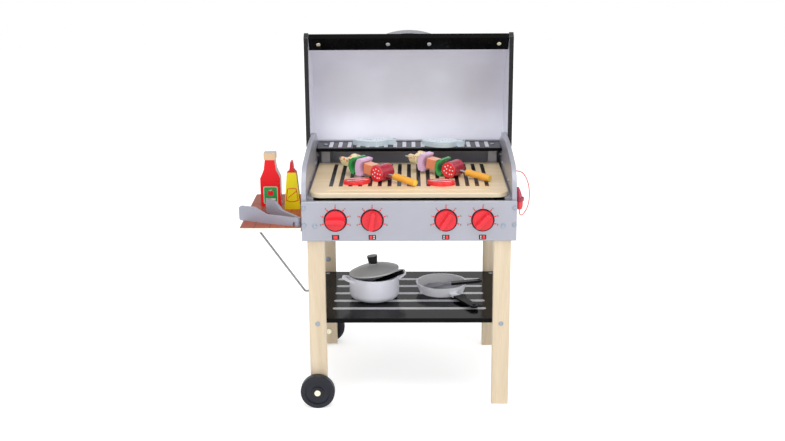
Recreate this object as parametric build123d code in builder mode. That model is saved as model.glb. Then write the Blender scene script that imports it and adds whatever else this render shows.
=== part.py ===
"""Toy barbecue grill with its play food: a plywood cabinet on four legs, a hinged lid, a lift-out
grill board, a fold-down side table, two wheels, four control knobs, pans, bottles and kebabs."""
from build123d import *
import math
import os

# Driving sizes of the cabinet, in millimetres. X runs to the right seen from the front, Y to the
# back from the control panel's front face, Z up from the floor.
cabinet_width = 410.0
plywood = 9.0
panel_bottom = 342.0
panel_height = 77.5
edge_round = 1.5
fine_edge = 0.5
overrun = 5.0
seat_gap = 0.3
slip_gap = 0.5

# Legs and lower shelf
leg_width = 33.0
leg_thickness = 18.0
leg_margin = 30.0
leg_top = 408.0
short_foot = 4.0
leg_round = 2.0
shelf_top = 175.0
brace_hole_height = 236.0
leg_bolt_height = 204.0
shelf_screw_margin = 14.0
side_screw_front = 104.0
side_screw_back = 86.0
side_screw_z = 436.0

# Firebox sides: the outline's corner points, each a height above or a depth behind a named size
side_shoulder_rise = 2.5
side_front_bulge_y = 13.0
side_front_bulge_z = 42.0
side_shoulder_y = 60.0
side_shoulder_z = 63.5
side_top_bulge_back = 199.0
side_top_bulge_z = 74.5
side_crest_back = 63.0
side_crest_z = 76.5
side_back_z = 42.0
crest_round = 10.0
back_panel_height = 126.0
floor_thickness = 6.0
batten = 12.0

# Warming rack and its posts
rack_top = 466.0
rack_thickness = 7.0
rack_depth = 75.0
post_width = 18.0
post_back = 44.0

# Grill board
board_thickness = 9.0
board_front = 29.0
board_depth = 271.0
board_side_gap = 4.0
board_corner = 25.0
groove_count = 17
groove_width = 8.1
groove_pitch = 19.2
groove_depth = 0.8
groove_length = 203.0
groove_back_margin = 12.0
front_groove_length = 318.0
front_groove_width = 24.0
front_groove_margin = 16.0

# Screws and bolts
screw_head = 4.5
screw_head_height = 1.6
screw_shank = 1.8
screw_length = 16.0
head_round_share = 0.6
short_screw = 7.0
panel_screw_shares = (1.4, 5.1)
leg_screw_share = 5.3
pivot_shank = 3.0
pivot_head = 6.0
pivot_head_height = 3.0
running_gap = 0.06

# Knobs
knob_radius = 19.7
knob_height = 17.5
knob_plate = 5.0
knob_grip_width = 9.0
knob_leg_margin = 22.6
knob_columns = (-2, -1, 1, 2)
knob_drop = 36.5
knob_shank = 3.0
knob_grip_share = 0.92
knob_round_share = 0.25
knob_taper = 8.0
knob_stand_off = 0.5
knob_turns = (0.0, 80.0, 57.0, 47.0)

# Lid, drawn open. Its outline is set by distances from the pivot.
lid_pivot_back = 36.5
lid_pivot_z = 445.0
lid_gap = 1.0
lid_side_thickness = 9.0
lid_front_reach = 53.0
lid_bottom_rise = 30.0
lid_reach = 253.0
lid_pivot_round = 24.0
rail_width = 36.0
rail_thickness = 12.0
rail_lean = 42.0
rail_inset = 3.0
rail_end_margin = 20.0
rail_bolt_share = 0.7
lid_rim = 3.0
skin_thickness = 4.0
dome_back = 82.0
dome_shoulder_y = 33.0
dome_shoulder_z = 201.0
dome_belly_z = 98.0
dome_tail_y = 66.0
dome_tail_z = -17.0
dome_tangents = ((1, -0.8), (-0.25, -1))
dome_shoulder_share = 0.7
handle_span = 85.0
handle_reach = 20.5
handle_knee_share = 0.45
handle_thick = 9.0
handle_foot = 13.0

# Wheels and axles
wheel_radius = 33.9
wheel_thickness = 18.0
wheel_dish = 3.0
wheel_rim = 9.0
wheel_hub = 11.0
wheel_out = 1.9
axle_radius = 3.5
axle_head = 6.0
axle_head_height = 2.5
spacer_thickness = 3.6
spacer_share = 0.8

# Side table, its hinge and its wire brace
table_width = 119.0
table_depth = 268.0
table_thickness = 8.0
table_top = 368.0
table_gap = 1.0
hinge_knuckle = 3.0
hinge_pin = 1.2
hinge_leaf = 1.5
hinge_length = 36.0
hinge_knuckles = 3
hinge_leaf_width = 12.0
hinge_margin = 30.0
wire_radius = 2.0
brace_bar_reach = 79.0
brace_bar_length = 60.0
brace_hook = 7.0
clip_width = 8.0
clip_wall = 1.5
clip_flange = 19.0
clip_share = 0.3

# Play lighter, its hook and its cord
lighter_radius = 6.9
lighter_out = 8.5
lighter_y = 44.0
lighter_bottom = 393.0
lighter_length = 44.0
lighter_lean = 4.0
lighter_shares = ((0, 0.62), (0.15, 0.95), (0.4, 1.0), (0.75, 0.72), (1.0, 0.3))
ring_share = 0.4
hook_y = 95.0
hook_z = 457.0
hook_bead = 3.5
cord_radius = 1.1
ring_wall = 2.0
ring_height = 6.0
corner_share = 0.45
cord_lead = 10.0
cord_foot = 7.5
cord_bends = ((23.0, 91.0, 449.0), (29.0, 85.0, 434.0), (31.0, 77.0, 418.0), (29.5, 68.0, 402.5),
              (24.5, 58.5, 390.0), (17.5, 51.0, 381.5), (11.0, 46.0, 379.5))

# Bottles on the side table
ketchup_width = 41.0
ketchup_height = 111.0
ketchup_thickness = 24.0
ketchup_set = (76.0, 164.0)
ketchup_neck = 19.5
ketchup_cap_width = 24.0
ketchup_cap_height = 14.0
ketchup_slope = 38.0
ketchup_slope_share = 0.55
ketchup_middle_share = 0.62
mustard_width = 33.0
mustard_height = 98.0
mustard_thickness = 20.0
mustard_set = (30.0, 141.0)
mustard_shoulder = 19.0
nozzle_height = 22.0
nozzle_flare_height = 5.5
nozzle_base = 16.0
nozzle_middle = 8.0
nozzle_tip = 4.0
bottle_round = 2.5

# Tongs
tongs_set = (8.0, 16.0)
tongs_length = 126.0
tongs_arm_thickness = 6.0
tongs_joint_height = 17.0
tongs_paddle_height = 29.0
tongs_paddle_length = 34.0
tongs_mid_angle = 141.3
tongs_half_angle = 15.8
tongs_knuckle = 6.5
paddle_slope_share = 0.9
tongs_pin = 2.0

# Foods on the board and the rack
steak_length = 54.0
steak_width = 35.0
steak_thickness = 8.0
steak_sets = ((-103.0, 188.0, 12.0), (64.0, 200.0, -14.0))
steak_shares = ((-1, 0), (-0.5, 0.8), (0.4, 1), (1, 0.1), (0.5, -0.9), (-0.4, -1))
fish_length = 92.0
fish_width = 52.0
fish_thickness = 11.0
fish_tail_share = 0.18
fish_crown_shares = ((-0.45, 0.82), (0.1, 1.0))
fish_waist_share = 0.22
fish_fin_share = 0.5
fish_sets = ((-74.0, 32.0, 4.0), (73.0, 46.0, -6.0))
skewer_radius = 2.0
skewer_length = 203.0
skewer_handle_length = 56.0
skewer_handle_radius = 7.0
skewer_hole_gap = 0.25
skewer_sets = ((13.5, 219.5, 140.5), (161.0, 181.8, 146.0))
bare_rod = 14.0
meat_radius = 16.5
meat_length = 38.0
salmon_size = 22.0
salmon_length = 22.0
onion_bend = 34.0
onion_wall = 12.0
pepper_bend = 20.0
pepper_wall = 6.0
slice_height = 34.0
pineapple_bend = 22.0
pineapple_drop = 10.0
pineapple_wall = 17.0
pineapple_crest = 12.0
pineapple_thickness = 18.0
food_space = 2.0

# Pot, pan and their tools on the lower shelf
pot_radius = 51.5
pot_height = 49.0
pot_wall = 3.0
pot_round = 14.0
pot_place = (-72.5, 158.0)
pot_handle_reach = 19.0
pot_handle_width = 38.0
pot_handle_strap = 6.0
pot_handle_thickness = 5.0
pot_handle_share = 0.87
pot_handle_turn = 19.0
pot_handle_tilt = 20.0
pot_lid_thickness = 3.0
pot_lid_dome = 12.0
pot_knob_top = 11.0
pot_knob_bottom = 7.0
pot_knob_height = 18.0
pot_lid_tilt_share = 1.25
ladle_azimuth = -17.0
ladle_brim_share = 0.5
ladle_bowl_radius = 17.0
ladle_bowl_set = 22.0
ladle_wall = 3.0
ladle_radius = 4.5
ladle_length = 78.0
pan_radius = 54.0
pan_height = 20.0
pan_wall = 4.0
pan_place = (68.0, 198.0)
pan_foot_share = 0.86
pan_handle_length = 95.0
pan_handle_width = 17.0
pan_handle_turn = -61.5
pan_handle_share = 0.2
hole_share = 0.22
spatula_turn = -17.0
spatula_tip_set = 33.0
spatula_blade_length = 46.0
spatula_blade_width = 34.0
spatula_neck = 12.0
spatula_thickness = 3.0
spatula_handle_length = 84.0
spatula_handle_width = 15.0
spatula_handle_thickness = 5.0

# Places worked out from the sizes above
half_width = cabinet_width / 2
inner_half = half_width - plywood
panel_top = panel_bottom + panel_height
leg_front = plywood
leg_spacing = board_depth + leg_margin
rear_leg_front = leg_front + leg_thickness + leg_spacing
frame_back = rear_leg_front + leg_thickness
leg_x = inner_half - leg_width / 2
wheel_offset_x = leg_x + wheel_out
knob_pitch = (leg_x - leg_width / 2 - knob_leg_margin) / max(knob_columns)
shelf_screw_y = rear_leg_front - shelf_screw_margin
side_screw_places = ((side_screw_front, side_screw_z), (frame_back - side_screw_back, side_screw_z))
side_top_bulge_y = frame_back - side_top_bulge_back
side_crest_y = frame_back - side_crest_back
post_front = frame_back - post_back
lid_pivot_y = frame_back - lid_pivot_back
lighter_x = half_width + lighter_out
board_bottom = panel_top + slip_gap
board_top = board_bottom + board_thickness
board_back = board_front + board_depth
skewer_places = [(x, board_back - back_set, turn) for x, back_set, turn in skewer_sets]
back_panel_top = panel_bottom + back_panel_height
rack_bottom = rack_top - rack_thickness
lid_inner = half_width + lid_gap
lid_outer = lid_inner + lid_side_thickness
rail_end_bolt = lid_inner - rail_end_margin
pin_x = -(half_width + hinge_knuckle + slip_gap)
pin_z = table_top - table_thickness - hinge_knuckle - slip_gap
table_inner = -(half_width + table_gap)
table_outer = table_inner - table_width
ketchup_place = (table_inner - ketchup_set[0], ketchup_set[1])
mustard_place = (table_inner - mustard_set[0], mustard_set[1])
tongs_joint = (table_inner - tongs_set[0], tongs_set[1])
knob_z = panel_top - knob_drop
fish_z = rack_top

pieces = []


def keep(part, label):
    """Name a finished piece and hold it for the export at the end."""
    part.label = label
    pieces.append(part)
    return part


def side_view(x):
    """A plane facing +X at x, drawn in Y and Z."""
    return Plane(origin=(x, 0, 0), x_dir=(0, 1, 0), z_dir=(1, 0, 0))


def front_view(y):
    """A plane facing the front at y, drawn in X and Z."""
    return Plane(origin=(0, y, 0), x_dir=(1, 0, 0), z_dir=(0, -1, 0))


def screw(place, inward, head=screw_head, height=screw_head_height, shank=screw_shank,
          length=screw_length):
    """A round-headed screw: place is under the head, inward the way it is driven."""
    with BuildPart(Plane(origin=place, z_dir=inward)) as body:
        Cylinder(shank, length, align=(Align.CENTER, Align.CENTER, Align.MIN))
        Cylinder(head, height, align=(Align.CENTER, Align.CENTER, Align.MAX))
        outer_rim = body.faces().sort_by(Axis(place, inward))[0].edges()
        fillet(outer_rim, height * head_round_share)
    return body.part


def drill(place, inward, radius=screw_shank, depth=screw_length):
    """Cut a blind hole for a screw or shaft from the open block's part."""
    with Locations(Plane(origin=place, z_dir=inward)):
        Cylinder(radius, depth, align=(Align.CENTER, Align.CENTER, Align.MIN), mode=Mode.SUBTRACT)


# Places of the screws: each is the point under the head and the way the screw goes in
panel_screws = []
for sign in (-1, 1):
    for drop_share in panel_screw_shares:
        panel_screws.append(((sign * (half_width - plywood / 2), 0, panel_top - plywood * drop_share),
                             (0, 1, 0)))
    panel_screws.append(((sign * leg_x, 0, panel_top - plywood * leg_screw_share), (0, 1, 0)))
shelf_screws = []
for sign in (-1, 1):
    shelf_screws.append(((sign * leg_x, leg_front, shelf_top - plywood / 2), (0, 1, 0)))
back_screws = []
for sign in (-1, 1):
    for drop in (plywood * 2, back_panel_height - plywood * 2):
        back_screws.append(((sign * (half_width - plywood / 2), frame_back + plywood,
                             back_panel_top - plywood - drop), (0, -1, 0)))
rack_screws = []
for sign in (-1, 1):
    rack_screws.append(((sign * (inner_half - post_width), post_front + post_width / 2, rack_top),
                        (0, 0, -1)))
side_screws = []
for sign in (-1, 1):
    for y, z in side_screw_places:
        side_screws.append(((sign * inner_half, y, z), (sign, 0, 0)))
corner_screws = []
for sign in (-1, 1):
    corner_screws.append(((sign * leg_x, shelf_screw_y, shelf_top), (0, 0, -1)))
leg_bolt = ((-leg_x, rear_leg_front, leg_bolt_height), (0, 1, 0))


def leg(sign, front):
    """One square-edged leg. The left legs stop short of the floor, where the wheels carry them."""
    foot = short_foot if sign < 0 else 0
    face = leg_front if front else rear_leg_front
    middle = face + leg_thickness / 2
    with BuildPart() as body:
        with BuildSketch(Plane(origin=(sign * leg_x, middle, foot))):
            RectangleRounded(leg_width, leg_thickness, leg_round)
        extrude(amount=leg_top - foot)
        if front:
            for place, inward in panel_screws + shelf_screws:
                if place[0] * sign > 0 and abs(abs(place[0]) - leg_x) < slip_gap:
                    depth = leg_thickness + plywood
                    drill((place[0], leg_front - overrun, place[2]), inward,
                          depth=depth if place[2] > shelf_top else depth + overrun)
        if sign < 0 and not front:
            drill(*leg_bolt, radius=axle_radius)
        if sign < 0:
            drill((-wheel_offset_x, face - overrun, wheel_radius), (0, 1, 0), radius=axle_radius,
                  depth=leg_thickness + 2 * overrun)
            if front:
                drill((-inner_half - overrun, middle, brace_hole_height), (1, 0, 0),
                      radius=wire_radius + seat_gap, depth=overrun + leg_thickness)
    return body.part


for label, sign, front in (("front_leg_left", -1, True), ("front_leg_right", 1, True),
                           ("rear_leg_left", -1, False), ("rear_leg_right", 1, False)):
    keep(leg(sign, front), label)


# Lower shelf: held between the front and the rear legs
with BuildPart() as shelf:
    shelf_front = leg_front + leg_thickness
    with BuildSketch(Plane.XY.offset(shelf_top - plywood)):
        with Locations((0, (shelf_front + rear_leg_front) / 2)):
            RectangleRounded(2 * inner_half, leg_spacing, edge_round * 2)
    extrude(amount=plywood)
    chamfer(shelf.faces().sort_by(Axis.Z)[-1].edges(), edge_round / 2)
    for place, inward in shelf_screws:
        drill(place, inward, depth=leg_thickness + screw_length)
    for place, inward in corner_screws:
        drill(place, inward, depth=short_screw)
keep(shelf.part, "lower_shelf")


def firebox_side(sign):
    """A tall side board: straight bottom and back, a full round shoulder and a nearly flat crest."""
    left = leg_front
    crest = panel_top + side_crest_z
    with BuildPart() as body:
        with BuildSketch(side_view(inner_half if sign > 0 else -half_width)):
            with BuildLine():
                shoulder = (left + side_shoulder_y, panel_top + side_shoulder_z)
                Line((left, panel_bottom), (left, panel_top + side_shoulder_rise))
                ThreePointArc((left, panel_top + side_shoulder_rise),
                              (left + side_front_bulge_y, panel_top + side_front_bulge_z), shoulder)
                ThreePointArc(shoulder, (left + side_top_bulge_y, panel_top + side_top_bulge_z),
                              (left + side_crest_y, crest))
                Polyline((left + side_crest_y, crest), (frame_back, panel_top + side_back_z),
                         (frame_back, panel_bottom), (left, panel_bottom))
            make_face()
        extrude(amount=plywood)
        crest_edge = body.edges().filter_by(Axis.X).sort_by(Axis.Z)[-1]
        fillet(crest_edge, crest_round)
        flats = body.faces().filter_by(Axis.X)
        chamfer(flats.edges().filter_by(GeomType.CIRCLE), fine_edge)
        for place, inward in panel_screws + back_screws:
            if place[0] * sign > leg_x + leg_width / 2:
                drill(place, inward, depth=plywood + screw_length)
        drill((sign * (inner_half - overrun), lid_pivot_y, lid_pivot_z), (sign, 0, 0),
              radius=pivot_shank, depth=plywood + 2 * overrun)
        for place, inward in side_screws:
            if place[0] * sign > 0:
                drill(place, inward, depth=short_screw)
        if sign > 0:
            drill((half_width - plywood / 2, hook_y, hook_z), (1, 0, 0), radius=screw_shank,
                  depth=plywood)
    return body.part


keep(firebox_side(-1), "firebox_side_left")
keep(firebox_side(1), "firebox_side_right")

knob_places = []
for column in knob_columns:
    knob_places.append(column * knob_pitch)

# Control panel: screwed to the side boards and the legs, with a hole for each knob's spindle
with BuildPart() as panel:
    with BuildSketch(front_view(plywood)):
        with Locations((0, panel_bottom + panel_height / 2)):
            RectangleRounded(cabinet_width, panel_height, edge_round)
    extrude(amount=plywood)
    chamfer(panel.faces().sort_by(Axis.Y)[0].edges(), edge_round / 2)
    for place, inward in panel_screws:
        drill(place, inward)
    for x in knob_places:
        drill((x, -overrun, knob_z), (0, 1, 0), radius=knob_shank + running_gap,
              depth=plywood + 2 * overrun)
keep(panel.part, "control_panel")

# Back panel
with BuildPart() as back:
    with BuildSketch(front_view(frame_back + plywood)):
        with Locations((0, panel_bottom + back_panel_height / 2)):
            RectangleRounded(cabinet_width, back_panel_height, edge_round)
    extrude(amount=plywood)
    for place, inward in back_screws:
        drill(place, inward)
keep(back.part, "back_panel")

# Firebox floor, notched round the legs and the posts
with BuildPart() as firebox_floor:
    with BuildSketch(Plane.XY.offset(panel_bottom)):
        with Locations((0, (leg_front + frame_back) / 2)):
            Rectangle(2 * inner_half, frame_back - leg_front)
        for sign in (-1, 1):
            for face in (leg_front, rear_leg_front):
                with Locations((sign * leg_x, face + leg_thickness / 2)):
                    Rectangle(leg_width + 2 * seat_gap, leg_thickness + 2 * seat_gap,
                              mode=Mode.SUBTRACT)
    extrude(amount=floor_thickness)
keep(firebox_floor.part, "firebox_floor")

# Battens inside the firebox: two carry the grill board, two posts carry the warming rack
with BuildPart() as battens:
    batten_front = leg_front + leg_thickness + seat_gap
    batten_length = post_front - batten_front - seat_gap
    for sign in (-1, 1):
        with BuildSketch(Plane.XY.offset(panel_top - batten)):
            with Locations((sign * (inner_half - batten / 2), batten_front + batten_length / 2)):
                Rectangle(batten, batten_length)
        extrude(amount=batten)
        with BuildSketch(Plane.XY.offset(panel_bottom + floor_thickness)):
            with Locations((sign * (inner_half - post_width), post_front + post_width / 2)):
                Rectangle(post_width, post_width)
        extrude(amount=rack_bottom - panel_bottom - floor_thickness)
    for place, inward in rack_screws:
        drill(place, inward)
keep(battens.part, "inner_battens")

# Warming rack
with BuildPart() as rack:
    with BuildSketch(Plane.XY.offset(rack_bottom)):
        with Locations((0, frame_back - rack_depth / 2)):
            Rectangle(2 * (inner_half - slip_gap), rack_depth)
    extrude(amount=rack_thickness)
    fillet(rack.edges().filter_by(Axis.X).group_by(Axis.Y)[0], edge_round)
    for place, inward in rack_screws:
        drill(place, inward)
keep(rack.part, "warming_rack")

# Grill board: a loose board with seventeen shallow grooves and one wide groove in front
board_half = inner_half - board_side_gap
with BuildPart() as grill_board:
    with BuildSketch(Plane.XY.offset(board_bottom)):
        with Locations((0, board_front + board_depth / 2)):
            Rectangle(2 * board_half, board_depth)
    extrude(amount=board_thickness)
    corners = grill_board.edges().filter_by(Axis.Z).group_by(Axis.Y)[0]
    fillet(corners, board_corner)
    chamfer(grill_board.faces().sort_by(Axis.Z)[-1].edges(), edge_round)
    with BuildSketch(Plane.XY.offset(board_top)):
        with Locations((0, board_back - groove_back_margin - groove_length / 2)):
            with GridLocations(groove_pitch, groove_pitch, groove_count, 1):
                Rectangle(groove_width, groove_length)
        with Locations((0, board_front + front_groove_margin)):
            SlotOverall(front_groove_length, front_groove_width)
    extrude(amount=-groove_depth, mode=Mode.SUBTRACT)
keep(grill_board.part, "grill_board")

# All screws and the two bolts that the lid turns on, in one node of separate solids
with BuildPart() as frame_bolts:
    for place, inward in panel_screws + shelf_screws + back_screws + rack_screws:
        long_screw = place[2] < shelf_top
        add(screw(place, inward, length=leg_thickness + plywood if long_screw else screw_length))
    for place, inward in side_screws + corner_screws:
        add(screw(place, inward, length=short_screw))
    add(screw(*leg_bolt, head=wheel_hub / 2, shank=axle_radius))
    for sign in (-1, 1):
        reach = plywood + lid_gap + lid_side_thickness
        add(screw((sign * inner_half, lid_pivot_y, lid_pivot_z), (sign, 0, 0), head=pivot_head,
                  height=pivot_head_height, shank=pivot_shank, length=reach))
        with BuildSketch(side_view(sign * (lid_outer + slip_gap))):
            with Locations((lid_pivot_y, lid_pivot_z)):
                Circle(pivot_head)
        extrude(amount=sign * pivot_head_height)
        with BuildSketch(side_view(sign * (inner_half + reach))):
            with Locations((lid_pivot_y, lid_pivot_z)):
                Circle(pivot_shank)
        extrude(amount=sign * slip_gap)
keep(frame_bolts.part, "frame_bolts")


def knob(x, turn):
    """A round knob with a raised grip bar across its face and a spindle through the panel."""
    with BuildPart() as body:
        with BuildSketch(front_view(-knob_stand_off)):
            with Locations((x, knob_z)):
                Circle(knob_radius)
        extrude(amount=knob_plate, taper=knob_taper)
        with BuildSketch(front_view(-knob_stand_off)):
            with Locations(Location((x, knob_z, 0), (0, 0, turn))):
                SlotOverall(2 * knob_radius * knob_grip_share, knob_grip_width)
        extrude(amount=knob_height)
        fillet(body.faces().sort_by(Axis.Y)[0].edges(), knob_grip_width * knob_round_share)
        with BuildSketch(front_view(0)):
            with Locations((x, knob_z)):
                Circle(knob_shank)
        extrude(amount=knob_stand_off)
        with BuildSketch(front_view(0)):
            with Locations((x, knob_z)):
                Circle(knob_shank)
        extrude(amount=-(plywood + slip_gap))
        with BuildSketch(front_view(plywood + slip_gap)):
            with Locations((x, knob_z)):
                Circle(knob_shank * 2)
        extrude(amount=-knob_shank)
    return body.part


for index, x in enumerate(knob_places):
    keep(knob(x, knob_turns[index]), f"knob_{index + 1}")


# Lid: two side boards outside the firebox, a bent skin between them, a leaning front rail, a handle
lean = math.radians(rail_lean)
rail_run = (-math.sin(lean), math.cos(lean))
rail_out = (math.cos(lean), math.sin(lean))
lid_front_y = lid_pivot_y - lid_front_reach
rail_front = (lid_front_y + rail_inset, lid_pivot_z + lid_reach)
rail_rear = (rail_front[0] - rail_run[0] * rail_width, rail_front[1] - rail_run[1] * rail_width)


def dome_line(inset):
    """The dome's back from the rail to its tail, inset from the side boards' outline."""
    start = (rail_rear[0] + rail_out[0] * (rail_thickness + lid_rim - inset),
             rail_rear[1] + rail_out[1] * (rail_thickness + lid_rim - inset))
    shoulder = (lid_pivot_y + dome_shoulder_y - inset * dome_shoulder_share + lid_rim,
                lid_pivot_z + dome_shoulder_z - inset * dome_shoulder_share)
    belly = (lid_pivot_y + dome_back + lid_rim - inset, lid_pivot_z + dome_belly_z)
    tail = (lid_pivot_y + dome_tail_y + lid_rim - inset, lid_pivot_z + dome_tail_z)
    return start, shoulder, belly, tail


def lid_side(sign):
    """A lid side board: straight front edge, round foot about the pivot and a domed back."""
    start, shoulder, belly, tail = dome_line(0)
    nose = (rail_front[0] + rail_out[0] * (rail_thickness + lid_rim),
            rail_front[1] + rail_out[1] * (rail_thickness + lid_rim))
    foot_y = lid_pivot_y
    foot_z = lid_pivot_z - lid_pivot_round
    with BuildPart() as body:
        with BuildSketch(side_view(lid_inner if sign > 0 else -lid_outer)):
            with BuildLine():
                Polyline((foot_y, foot_z), (lid_front_y, lid_pivot_z + lid_bottom_rise),
                         (lid_front_y, rail_front[1] + lid_rim), nose, start)
                Spline(start, shoulder, belly, tail, tangents=dome_tangents)
                Line(tail, (foot_y, foot_z))
            make_face()
        extrude(amount=lid_side_thickness)
        front_corners = body.edges().filter_by(Axis.X).sort_by(Axis.Y)[0:2]
        fillet(front_corners, lid_rim * 2)
        foot_corner = body.edges().filter_by(Axis.X).sort_by(Axis.Z)[0]
        fillet(foot_corner, lid_pivot_round - seat_gap - overrun)
        drill((sign * (lid_inner - overrun), lid_pivot_y, lid_pivot_z), (sign, 0, 0),
              radius=pivot_shank + running_gap, depth=lid_side_thickness + 2 * overrun)
    return body.part


keep(lid_side(-1), "lid_side_left")
keep(lid_side(1), "lid_side_right")

with BuildPart() as lid_skin:
    with BuildSketch(side_view(-lid_inner)):
        with BuildLine():
            outer = Spline(*dome_line(lid_rim), tangents=dome_tangents)
            inner = Spline(*dome_line(lid_rim + skin_thickness), tangents=dome_tangents)
            Line(outer @ 0, inner @ 0)
            Line(outer @ 1, inner @ 1)
        make_face()
    extrude(amount=2 * lid_inner)
keep(lid_skin.part, "lid_skin")

# The rail's plane has its local X along the width of the lid and its normal out of the lid
rail_plane = Plane(origin=(0, rail_front[0], rail_front[1]), x_dir=(1, 0, 0),
                   z_dir=(0, rail_out[0], rail_out[1]))
rail_places = (-handle_span / 2, handle_span / 2)
rail_end_places = (-rail_end_bolt, rail_end_bolt)
rail_end_length = rail_thickness * rail_bolt_share
with BuildPart() as lid_rail:
    with BuildSketch(rail_plane):
        with Locations((0, rail_width / 2)):
            Rectangle(2 * lid_inner, rail_width)
    extrude(amount=rail_thickness)
    for x in rail_places:
        centre = rail_plane.from_local_coords((x, rail_width / 2, -overrun))
        drill(centre, rail_plane.z_dir, depth=rail_thickness + 2 * overrun)
    for x in rail_end_places:
        centre = rail_plane.from_local_coords((x, rail_width / 2, 0))
        drill(centre, rail_plane.z_dir, depth=rail_end_length)
keep(lid_rail.part, "lid_rail")

with BuildPart() as lid_handle:
    grip_plane = Plane(origin=rail_plane.from_local_coords((0, rail_width / 2, rail_thickness)),
                       x_dir=(1, 0, 0), z_dir=rail_plane.y_dir)
    reach_sign = 1 if grip_plane.y_dir.dot(rail_plane.z_dir) > 0 else -1
    half_span = handle_span / 2 + handle_foot / 2
    inner_span = handle_span / 2 - handle_foot / 2
    outer_crown = reach_sign * handle_reach
    inner_crown = reach_sign * (handle_reach - handle_thick)
    outer_knee = outer_crown * handle_knee_share
    inner_knee = inner_crown * handle_knee_share
    with BuildSketch(grip_plane):
        with BuildLine():
            Line((-half_span, 0), (-half_span, outer_knee))
            ThreePointArc((-half_span, outer_knee), (0, outer_crown),
                          (half_span, outer_knee))
            Line((half_span, outer_knee), (half_span, 0))
            Line((half_span, 0), (inner_span, 0))
            Line((inner_span, 0), (inner_span, inner_knee))
            ThreePointArc((inner_span, inner_knee), (0, inner_crown),
                          (-inner_span, inner_knee))
            Line((-inner_span, inner_knee), (-inner_span, 0))
            Line((-inner_span, 0), (-half_span, 0))
        make_face()
    extrude(amount=handle_foot / 2, both=True)
    for x in rail_places:
        centre = rail_plane.from_local_coords((x, rail_width / 2, rail_thickness - overrun))
        drill(centre, rail_plane.z_dir, depth=overrun + handle_thick)
keep(lid_handle.part, "lid_handle")

with BuildPart() as lid_bolts:
    for x in rail_places:
        place = rail_plane.from_local_coords((x, rail_width / 2, 0))
        add(screw(tuple(place), tuple(rail_plane.z_dir),
                  length=rail_thickness + handle_thick * rail_bolt_share))
    for x in rail_end_places:
        place = rail_plane.from_local_coords((x, rail_width / 2, 0))
        add(screw(tuple(place), tuple(rail_plane.z_dir), length=rail_end_length))
keep(lid_bolts.part, "lid_bolts")


def wheel(front_face):
    """A solid toy wheel with a dished face, a raised hub and a round tread edge."""
    with BuildPart() as body:
        with BuildSketch(front_view(front_face + wheel_thickness)):
            with Locations((-wheel_offset_x, wheel_radius)):
                Circle(wheel_radius)
        extrude(amount=wheel_thickness)
        fillet(body.edges().filter_by(GeomType.CIRCLE), wheel_dish)
        for face, into in ((front_face, 1), (front_face + wheel_thickness, -1)):
            with BuildSketch(front_view(face)):
                with Locations((-wheel_offset_x, wheel_radius)):
                    Circle(wheel_radius - wheel_rim)
                    Circle(wheel_hub, mode=Mode.SUBTRACT)
            extrude(amount=-into * wheel_dish, mode=Mode.SUBTRACT)
        drill((-wheel_offset_x, front_face - overrun, wheel_radius), (0, 1, 0),
              radius=axle_radius + running_gap, depth=wheel_thickness + 2 * overrun)
    return body.part


front_wheel_face = leg_front - spacer_thickness - wheel_thickness - seat_gap
rear_wheel_face = frame_back + spacer_thickness + seat_gap
keep(wheel(front_wheel_face), "wheel_front")
keep(wheel(rear_wheel_face), "wheel_rear")

# Axle bolts through the left legs, each with a head past the wheel, a spacer and a nut
with BuildPart() as wheel_axles:
    axle_ends = ((front_wheel_face - seat_gap, leg_front + leg_thickness, leg_front, -1),
                 (rear_wheel_face + wheel_thickness + seat_gap, rear_leg_front, frame_back, 1))
    for head_face, nut_face, leg_face, outward in axle_ends:
        centre = Plane(origin=(-wheel_offset_x, nut_face, wheel_radius), z_dir=(0, outward, 0))
        with Locations(centre):
            Cylinder(axle_radius, abs(head_face - nut_face),
                     align=(Align.CENTER, Align.CENTER, Align.MIN))
            Cylinder(axle_head, axle_head_height, align=(Align.CENTER, Align.CENTER, Align.MAX))
        with Locations(Plane(origin=(-wheel_offset_x, head_face, wheel_radius),
                             z_dir=(0, outward, 0))):
            Cylinder(axle_head, axle_head_height, align=(Align.CENTER, Align.CENTER, Align.MIN))
        with Locations(Plane(origin=(-wheel_offset_x, leg_face, wheel_radius),
                             z_dir=(0, outward, 0))):
            Cylinder(wheel_hub * spacer_share, spacer_thickness,
                     align=(Align.CENTER, Align.CENTER, Align.MIN))
keep(wheel_axles.part, "wheel_axles")

# Side table: a flap whose front edge lines up with the panel
with BuildPart() as side_table:
    with BuildSketch(Plane.XY.offset(table_top - table_thickness)):
        with Locations(((table_inner + table_outer) / 2, table_depth / 2)):
            RectangleRounded(table_width, table_depth, edge_round * 2)
    extrude(amount=table_thickness)
    chamfer(side_table.faces().sort_by(Axis.Z)[-1].edges(), edge_round / 2)
keep(side_table.part, "side_table")

hinge_starts = (hinge_margin, table_depth - hinge_margin - hinge_length)
third = hinge_length / hinge_knuckles

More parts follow.
